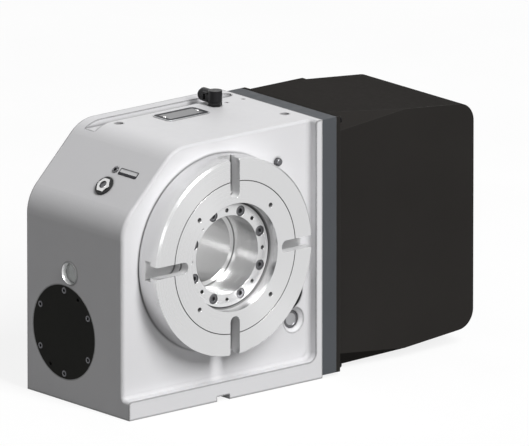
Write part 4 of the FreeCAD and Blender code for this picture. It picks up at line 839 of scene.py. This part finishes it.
class Nameplate(bpy.types.Operator):
    """Makes the bare nameplate: a raised rim, a dark etched line, a grey field and two rivets"""

    bl_idname = "rotary_table.nameplate"
    bl_label = "Nameplate"

    def execute(self, context):
        tool = settings().pieces
        low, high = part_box("blank_nameplate")
        middle_y, line = (low.y + high.y) / 2, high.z - tool.name_depth
        plate = block("nameplate_bare", low, high)
        pick(plate, "EDGE", upright)
        bevel(tool.name_corner, segments=2)
        pick_end(plate)
        inset(tool.name_border)
        inset(tool.name_wall, -tool.name_depth)
        inset(tool.name_line)
        inset(tool.name_wall, tool.name_depth)
        coat(plate, finish("bare_aluminium"), finish("etched_black"), finish("etched_aluminium"))
        coat_faces(plate, 1, lambda middle, normal: line - NEAR < middle.z < high.z - NEAR and normal.z > SQUARE)
        coat_faces(plate, 2, lambda middle, normal: normal.z > FLAT and abs(middle.y - middle_y) < tool.name_border
                   and low.x + tool.name_line < middle.x < high.x - tool.name_line and middle.z > high.z - NEAR)
        done(plate)
        rivets = []
        for end in (low.x + tool.rivet_inset, high.x - tool.rivet_inset):
            rivet = bar("rivet", tool.rivet_radius, 0, tool.rivet_height, sides=24)
            round_ring(rivet, tool.rivet_height, tool.rivet_radius, tool.rivet_round, segments=5)
            coat(done(rivet), finish("bright_steel"))
            rivets.append(settle(rivet, (end, middle_y, line - LAP), UP))
        stand_for(joined(plate, *rivets), "blank_nameplate")
        return {"FINISHED"}


def plug_foot():
    """Where the filler plug's axis meets the slope."""
    return middle_of("filler_plug_washer") - SLOPE_OUT * settings().pieces.washer_thick / 2


class FillerPlug(bpy.types.Operator):
    """Makes the filler plug and its washer on the slope"""

    bl_idname = "rotary_table.filler_plug"
    bl_label = "Filler Plug"

    WASHER_ROUND = 0.4 * MM
    CHAMFER_RUN, CHAMFER_DROP = 4.6 * MM, 2.6 * MM  # Slope of the head's chamfer
    RECESS_FLOOR = 0.2 * MM  # From the washer to the floor of the recess
    CRISP = math.radians(25)

    def execute(self, context):
        tool = settings().pieces
        thick = tool.washer_thick
        washer = bar("filler_washer", tool.washer_radius, 0, thick, sides=72)
        carve(washer, bar("hole", tool.washer_hole, -PAST, thick + PAST, sides=72))
        for height in (0, thick):
            round_ring(washer, height, tool.washer_radius, self.WASHER_ROUND)
        stand_for(settle(done(washer), plug_foot(), SLOPE_OUT), "filler_plug_washer")

        top, face = thick + tool.plug_height, tool.plug_face
        head = bar("filler_plug_head", hex_radius(tool.plug_flats), thick, top, sides=6)
        cone = taper("chamfer", face + self.CHAMFER_RUN, face, top - self.CHAMFER_DROP, top, sides=72)
        carve(head, cone, "INTERSECT")
        carve(head, bar("recess", tool.plug_recess, thick + self.RECESS_FLOOR, top + PAST, sides=48))
        coat(head, finish("bright_steel"), finish("phosphate"))
        coat_faces(head, 1, lambda middle, normal: middle.to_2d().length < tool.plug_recess + LAP
                   and thick < middle.z < top - LAP)
        done(head, self.CRISP)
        shank = done(bar("filler_shank", tool.plug_shank, -tool.plug_reach, thick, sides=48))
        stand_for(settle(joined(head, shank), plug_foot(), SLOPE_OUT), "filler_plug")
        return {"FINISHED"}


class LevelScrew(bpy.types.Operator):
    """Makes the level screw above the filler plug, with a bare tag beside it"""

    bl_idname = "rotary_table.level_screw"
    bl_label = "Level Screw"

    HEAD_ROUND = 0.5 * MM
    SOCKET_FLOOR = 3 * MM  # From the slope down to the socket's floor
    TAG_CORNER, TAG_BORDER, TAG_SINK = 1.0 * MM, 0.6 * MM, 0.1 * MM
    TAG_SPLIT = -0.12  # Where the tag's pale part ends, for each unit of its height

    def execute(self, context):
        tool = settings().pieces
        at = plug_foot() + SLOPE_UP * tool.level_gap
        top = tool.level_proud
        screw = bar("level_screw_socketed", tool.level_radius, -tool.level_reach, top, sides=48)
        round_ring(screw, top, tool.level_radius, self.HEAD_ROUND, segments=4)
        carve(screw, bar("socket", hex_radius(tool.level_flats), -self.SOCKET_FLOOR, top + PAST, sides=6))
        stand_for(settle(done(screw), at, SLOPE_OUT), "level_screw", finish("phosphate"))

        corner = Vector((tool.tag_length / 2, tool.tag_height / 2, 0))
        split = tool.tag_height * self.TAG_SPLIT
        tag = block("level_tag", -corner, corner + Vector((0, 0, tool.tag_thick)))
        pick(tag, "EDGE", upright)
        bevel(self.TAG_CORNER, segments=4)
        pick_end(tag)
        inset(self.TAG_BORDER)
        inset(self.TAG_SINK, -self.TAG_SINK)
        bpy.ops.mesh.bisect(plane_co=(0, split, 0), plane_no=BACK)
        coat(tag, finish("etched_black"), finish("casting_paint"))
        coat_faces(tag, 1, lambda middle, normal: normal.z > FLAT and middle.z < tool.tag_thick - self.TAG_SINK / 2
                   and middle.y > split)
        settle(done(tag), at + Vector(FRONT) * (tool.tag_gap + tool.tag_length / 2), SLOPE_OUT, FRONT)
        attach(tag, "housing")
        return {"FINISHED"}


class SightGlass(bpy.types.Operator):
    """Makes the oil sight glass: a coned bezel and a domed lens"""

    bl_idname = "rotary_table.sight_glass"
    bl_label = "Sight Glass"

    RIM, RIM_ROUND, CONE_DEPTH, FLOOR = 0.5 * MM, 0.35 * MM, 4.0 * MM, 0.3 * MM
    LENS_PLAY, LENS_LIFT, LENS_DROP, LENS_ROUND = 0.03 * MM, 0.05 * MM, 0.2 * MM, 1.2 * MM

    def execute(self, context):
        low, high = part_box("sight_glass_bezel")
        lens_low, lens_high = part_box("sight_glass_lens")
        at = middle_of("sight_glass_bezel")
        at.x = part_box("housing_casting")[0].x
        radius, seat = (high.y - low.y) / 2, (lens_high.y - lens_low.y) / 2
        floor, proud = at.x - high.x + self.FLOOR, at.x - low.x
        bezel = bar("sight_bezel", radius, at.x - high.x, proud, sides=96)
        pick_end(bezel)
        inset(self.RIM)
        inset(radius - self.RIM - seat, -self.CONE_DEPTH)
        draw_out(floor - (proud - self.CONE_DEPTH))
        round_ring(bezel, proud, radius, self.RIM_ROUND)
        coat(bezel, finish("casting_paint"), finish("polished_cone"))
        coat_faces(bezel, 1, lambda middle, normal: SQUARE < normal.z < 1 - SQUARE
                   and middle.to_2d().length < radius - self.RIM)
        stand_for(settle(done(bezel), at, LEFT), "sight_glass_bezel")

        face, lens_radius = proud - self.CONE_DEPTH - self.LENS_DROP, seat - self.LENS_PLAY
        lens = bar("sight_lens_domed", lens_radius, floor + self.LENS_LIFT, face, sides=96)
        round_ring(lens, face, lens_radius, self.LENS_ROUND, segments=6)
        stand_for(settle(done(lens), at, LEFT), "sight_glass_lens")
        return {"FINISHED"}


class ZeroPointer(bpy.types.Operator):
    """Makes the zero pointer: a domed button whose foot points at the face plate"""

    bl_idname = "rotary_table.zero_pointer"
    bl_label = "Zero Pointer"

    DOME, FOOT_ROUND = 2.4 * MM, 0.3 * MM
    TIP_WIDTH, TIP_HEIGHT = 0.35, 0.6  # For each unit of the foot's width and thickness
    HIDDEN = 0.5 * MM  # What lies inside the button or on the casting stays sharp

    def execute(self, context):
        tool = settings().pieces
        low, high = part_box("zero_pointer")
        radius, proud = tool.pointer_radius, -low.y
        at = Vector((high.x - radius, 0, high.z - radius))
        button = bar("pointer_button", radius, 0, proud, sides=48)
        round_ring(button, proud, radius, self.DOME, segments=8)
        pick_end(button, -1)
        inset(radius / 2)
        draw_out(-high.y)
        tip, half = tool.pointer_foot, tool.pointer_width / 2
        foot = block("pointer_foot", (0, -half, 0), (tip, half, tool.pointer_thick))
        pick(foot, "FACE", lambda middle, normal: normal.x > FLAT)
        bpy.ops.transform.resize(value=(1, self.TIP_WIDTH, self.TIP_HEIGHT), center_override=(tip, 0, 0))
        pick(foot, "EDGE", lambda middle, along: min(middle.x, middle.z) > self.HIDDEN)
        bevel(self.FOOT_ROUND, segments=2)
        piece = joined(done(button), done(foot))
        stand_for(settle(piece, at, FRONT, SPINDLE - at), "zero_pointer", finish("phosphate"))
        return {"FINISHED"}


class DrainPlug(bpy.types.Operator):
    """Makes the drain plug: a dished disc with a broken edge"""

    bl_idname = "rotary_table.drain_plug"
    bl_label = "Drain Plug"

    DISH_WALL, DISH_DEPTH, EDGE_ROUND = 0.6 * MM, 0.5 * MM, 0.6 * MM

    def execute(self, context):
        rim = settings().pieces.drain_rim
        low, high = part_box("drain_plug")
        radius = (high.x - low.x) / 2
        at = middle_of("drain_plug")
        at.y = low.y
        plug = bar("drain_plug_dished", radius, low.y - high.y, 0, sides=72)
        pick_end(plug)
        inset(rim)
        inset(self.DISH_WALL, -self.DISH_DEPTH)
        round_ring(plug, 0, radius, self.EDGE_ROUND)
        coat(plug, finish("phosphate"), finish("zinc"))
        coat_faces(plug, 1, lambda middle, normal: normal.z > FLAT and middle.to_2d().length < radius - rim)
        stand_for(settle(done(plug), at, FRONT), "drain_plug")
        return {"FINISHED"}


class AirFitting(bpy.types.Operator):
    """Makes the push-in air elbow: hex stud, moulded elbow and release collet"""

    bl_idname = "rotary_table.air_fitting"
    bl_label = "Air Fitting"

    HEX_ROUND = 0.4 * MM
    ELBOW_FOOT, ARM_HEIGHT = 4.25 * MM, 8.5 * MM  # From the casting to the elbow and to its arm's axis
    PIVOT_PLAY, PIVOT_ROOM, PIVOT_FOOT = 0.1 * MM, 0.4 * MM, 3 * MM  # Room round and above the pivot, and its start
    COLLAR = (6.7 * MM, 5.4 * MM, 12.4 * MM, 4.8 * MM)  # Half width, start and end along the arm, half height
    WINDOW = (5.4 * MM, 7.2 * MM, 10.8 * MM, 3 * MM)  # Floor, start and end along the arm, half height
    MOUTH_RADIUS, MOUTH_DEPTH = 5.35 * MM, 9 * MM
    SKIN, SKIN_SMOOTH, SKIN_TURNS = 0.3 * MM, 0.5, 5  # Blends the moulded shapes into one
    COLLET_RIM, COLLET_DISH, COLLET_FLOOR, COLLET_ROUND = 0.7 * MM, 0.5 * MM, 0.8 * MM, 0.5 * MM

    def execute(self, context):
        tool = settings().pieces
        at = middle_of("air_stud")
        at.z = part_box("housing_casting")[1].z
        self.stud(tool, at)
        self.elbow(tool, at)
        self.collet(tool)
        return {"FINISHED"}

    def stud(self, tool, at):
        stud = bar("air_stud_hex", tool.hex_radius, 0, tool.hex_height, sides=6)
        pick(stud, "EDGE", lambda middle, along: abs(along.z) < SQUARE)
        bevel(self.HEX_ROUND, segments=2)
        done(stud)
        thread = done(bar("air_thread", tool.thread_radius, -tool.thread_reach, LAP, sides=40))
        pivot = done(bar("air_pivot", tool.pivot_radius, tool.hex_height - LAP, tool.pivot_top, sides=40))
        stand_for(settle(joined(stud, thread, pivot), at, UP), "air_stud")

    def elbow(self, tool, at):
        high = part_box("air_elbow")[1]
        reach, crown, axis = high.y - at.y, high.z - at.z, self.ARM_HEIGHT
        elbow = bar("air_elbow_moulded", tool.elbow_radius, self.ELBOW_FOOT, crown - LAP, sides=72)
        carve(elbow, settle(bar("arm", tool.arm_radius, 0, reach - LAP, sides=72), (0, 0, axis), BACK), "UNION")
        wide, start, end, tall = self.COLLAR
        carve(elbow, block("collar", (-wide, start, axis - tall), (wide, end, axis + tall)), "UNION")
        modify(elbow, "REMESH", mode="VOXEL", voxel_size=self.SKIN)
        modify(elbow, "SMOOTH", factor=self.SKIN_SMOOTH, iterations=self.SKIN_TURNS)
        carve(elbow, bar("pivot_hole", tool.pivot_radius + self.PIVOT_PLAY, self.PIVOT_FOOT,
                         tool.pivot_top + self.PIVOT_ROOM, sides=48))
        mouth = bar("mouth", self.MOUTH_RADIUS, reach - self.MOUTH_DEPTH, reach + PAST, sides=48)
        carve(elbow, settle(mouth, (0, 0, axis), BACK))
        floor, start, end, tall = self.WINDOW
        for side in (-1, 1):
            left, right = sorted((side * floor, side * (wide + PAST)))
            carve(elbow, block("window", (left, start, axis - tall), (right, end, axis + tall)))
        stand_for(settle(done(elbow), at, UP), "air_elbow")

    def collet(self, tool):
        low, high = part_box("air_collet")
        radius, span = (high.x - low.x) / 2, high.y - low.y
        collet = bar("air_release_collet", radius, 0, span, sides=64)
        pick_end(collet)
        inset(self.COLLET_RIM)
        inset(radius - tool.collet_bore - self.COLLET_RIM, -self.COLLET_DISH)
        draw_out(self.COLLET_FLOOR - span)
        round_ring(collet, span, radius, self.COLLET_ROUND, segments=4)
        place = middle_of("air_collet")
        place.y = low.y
        stand_for(settle(done(collet), place, BACK), "air_collet")


class SocketInserts(bpy.types.Operator):
    """Makes the contact inserts and pins in the two sockets at the back"""

    bl_idname = "rotary_table.socket_inserts"
    bl_label = "Socket Inserts"

    SHELF, STEP_WALL, STEP_HEIGHT, EDGE_ROUND = 1.6 * MM, 0.4 * MM, 0.6 * MM, 0.5 * MM
    TIP_SHARE = 0.7  # Rounding of a pin's tip, for each unit of its radius

    def execute(self, context):
        tool = settings().pieces
        insert = bar("contact_insert", tool.insert_radius, 0, tool.insert_thick, sides=72)
        pick_end(insert)
        inset(self.SHELF)
        inset(self.STEP_WALL, self.STEP_HEIGHT)
        round_ring(insert, tool.insert_thick, tool.insert_radius, self.EDGE_ROUND)
        coat(done(insert), finish("black_plastic"))
        pin = bar("contact_pin", tool.pin_radius, 0, tool.pin_length, sides=20)
        round_ring(pin, tool.pin_length, tool.pin_radius, tool.pin_radius * self.TIP_SHARE, segments=4)
        coat(done(pin), finish("brass"))
        spots = [Vector()]
        for number in range(tool.pin_count):
            turn = 2 * math.pi * number / tool.pin_count
            spots.append(Vector((math.cos(turn), math.sin(turn), 0)) * tool.pin_circle)
        pins = copies(pin, [(spot, UP) for spot in spots], "contact_pins")
        places = []
        for low, high in solids("connector_sockets"):
            at = (low + high) / 2
            at.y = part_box("connector_sockets")[0].y + tool.socket_floor
            places.append((at, BACK))
        piece = copies(joined(insert, pins), places, "socket_inserts")
        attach(piece, "housing")
        return {"FINISHED"}


class Stage(bpy.types.Operator):
    """Makes the floor, the light and the camera"""

    bl_idname = "rotary_table.stage"
    bl_label = "Stage"

    WHITE = (1, 1, 1, 1)
    FLOOR_TONES = (0.15, 0.15, 0.15), (0.18, 0.18, 0.18)

    def execute(self, context):
        level = settings().stage
        scene = context.scene
        scene.view_settings.view_transform = "Standard"
        deselect()
        bpy.ops.mesh.primitive_plane_add(size=level.floor_size, location=(0, 0, -level.floor_drop))
        floor = context.object
        floor.name = "floor"
        coat(floor, self.floor_finish(level))
        self.surroundings(scene, level)
        flat = math.cos(level.elevation)
        back = Vector((math.sin(level.azimuth) * flat, -math.cos(level.azimuth) * flat, math.sin(level.elevation)))
        for name, toward, distance, width, height, watts in (
            ("key", level.key_from, level.key_distance, level.key_width, level.key_height, level.key_power),
            ("fill", level.fill_from, level.key_distance, level.fill_size, level.fill_size, level.fill_power),
            ("eye", back, level.eye_distance, level.eye_size, level.eye_size, level.eye_power),
        ):
            light = bpy.data.lights.new(name, "AREA")
            light.shape, light.size, light.size_y, light.energy = "RECTANGLE", width, height, watts
            self.aim(scene, light, level.light_at, Vector(toward).normalized(), distance)
        eye = bpy.data.cameras.new("photo_view")
        eye.lens, eye.sensor_width, eye.clip_end = level.lens, level.sensor, level.far_end
        scene.camera = self.aim(scene, eye, level.look_at, back, level.frame_width * level.lens / level.sensor)
        return {"FINISHED"}

    @staticmethod
    def aim(scene, data, at, toward, distance):
        """Stands a light or a camera off in a direction, facing the point it stands off from."""
        thing = bpy.data.objects.new(data.name, data)
        thing.location = Vector(at) + toward * distance
        thing.rotation_euler = toward.to_track_quat("Z", "Y").to_euler()
        scene.collection.objects.link(thing)
        return thing

    @staticmethod
    def seen(made):
        """1 for what the camera, a mirror or a lens sees, and 0 for diffuse light."""
        path = made.node("ShaderNodeLightPath").outputs
        return made.most(made.most(path["Is Camera Ray"], path["Is Glossy Ray"]), path["Is Transmission Ray"])

    def floor_finish(self, level):
        """White where it is seen, less the share that shows the shadow."""
        made = recipe("studio_floor")
        made.set(Base_Color=made.blend(made.noise(scale=6), *self.FLOOR_TONES),
                 Roughness=0.9,
                 Specular_IOR_Level=0.0,
                 Emission_Color=self.WHITE,
                 Emission_Strength=made.times(self.seen(made), 1.0 - level.floor_shade))
        return made.owner

    def surroundings(self, scene, level):
        """White where they are seen, and a soft sky for diffuse light."""
        scene.world = bpy.data.worlds.new("studio")
        made = Recipe(scene.world, "Background")
        sky = made.band(made.along(made.coordinates["Generated"], UP), level.horizon, level.zenith)
        made.set(Color=self.WHITE, Strength=made.most(self.seen(made), sky))


class TableSettings(bpy.types.PropertyGroup):
    """All that a user would change on the table."""

    colours: PointerProperty(type=FinishColours)
    pieces: PointerProperty(type=PieceSizes)
    stage: PointerProperty(type=StageLevels)


STEPS = (DressSolids, CapScrews, Nameplate, FillerPlug, LevelScrew, SightGlass, ZeroPointer, DrainPlug, AirFitting,
         SocketInserts, Stage)


class TablePanel(bpy.types.Panel):
    """Lists the steps and their values"""

    bl_idname = "VIEW3D_PT_rotary_table"
    bl_label = "Rotary Table"
    bl_space_type = "VIEW_3D"
    bl_region_type = "UI"
    bl_category = "Rotary Table"

    def draw(self, context):
        for step in STEPS:
            self.layout.operator(step.bl_idname)
        for group in (settings().colours, settings().pieces, settings().stage):
            box = self.layout.box()
            for name in group.__annotations__:
                box.prop(group, name)


CLASSES = (FinishColours, PieceSizes, StageLevels, TableSettings, *STEPS, TablePanel)


def register():
    for made in CLASSES:
        bpy.utils.register_class(made)
    bpy.types.Scene.rotary_table = PointerProperty(type=TableSettings)


def unregister():
    del bpy.types.Scene.rotary_table
    for made in reversed(CLASSES):
        bpy.utils.unregister_class(made)


def main():
    register()
    for step in STEPS:
        group, name = step.bl_idname.split(".")
        getattr(getattr(bpy.ops, group), name)()
    deselect()


if __name__ == "__main__":
    main()
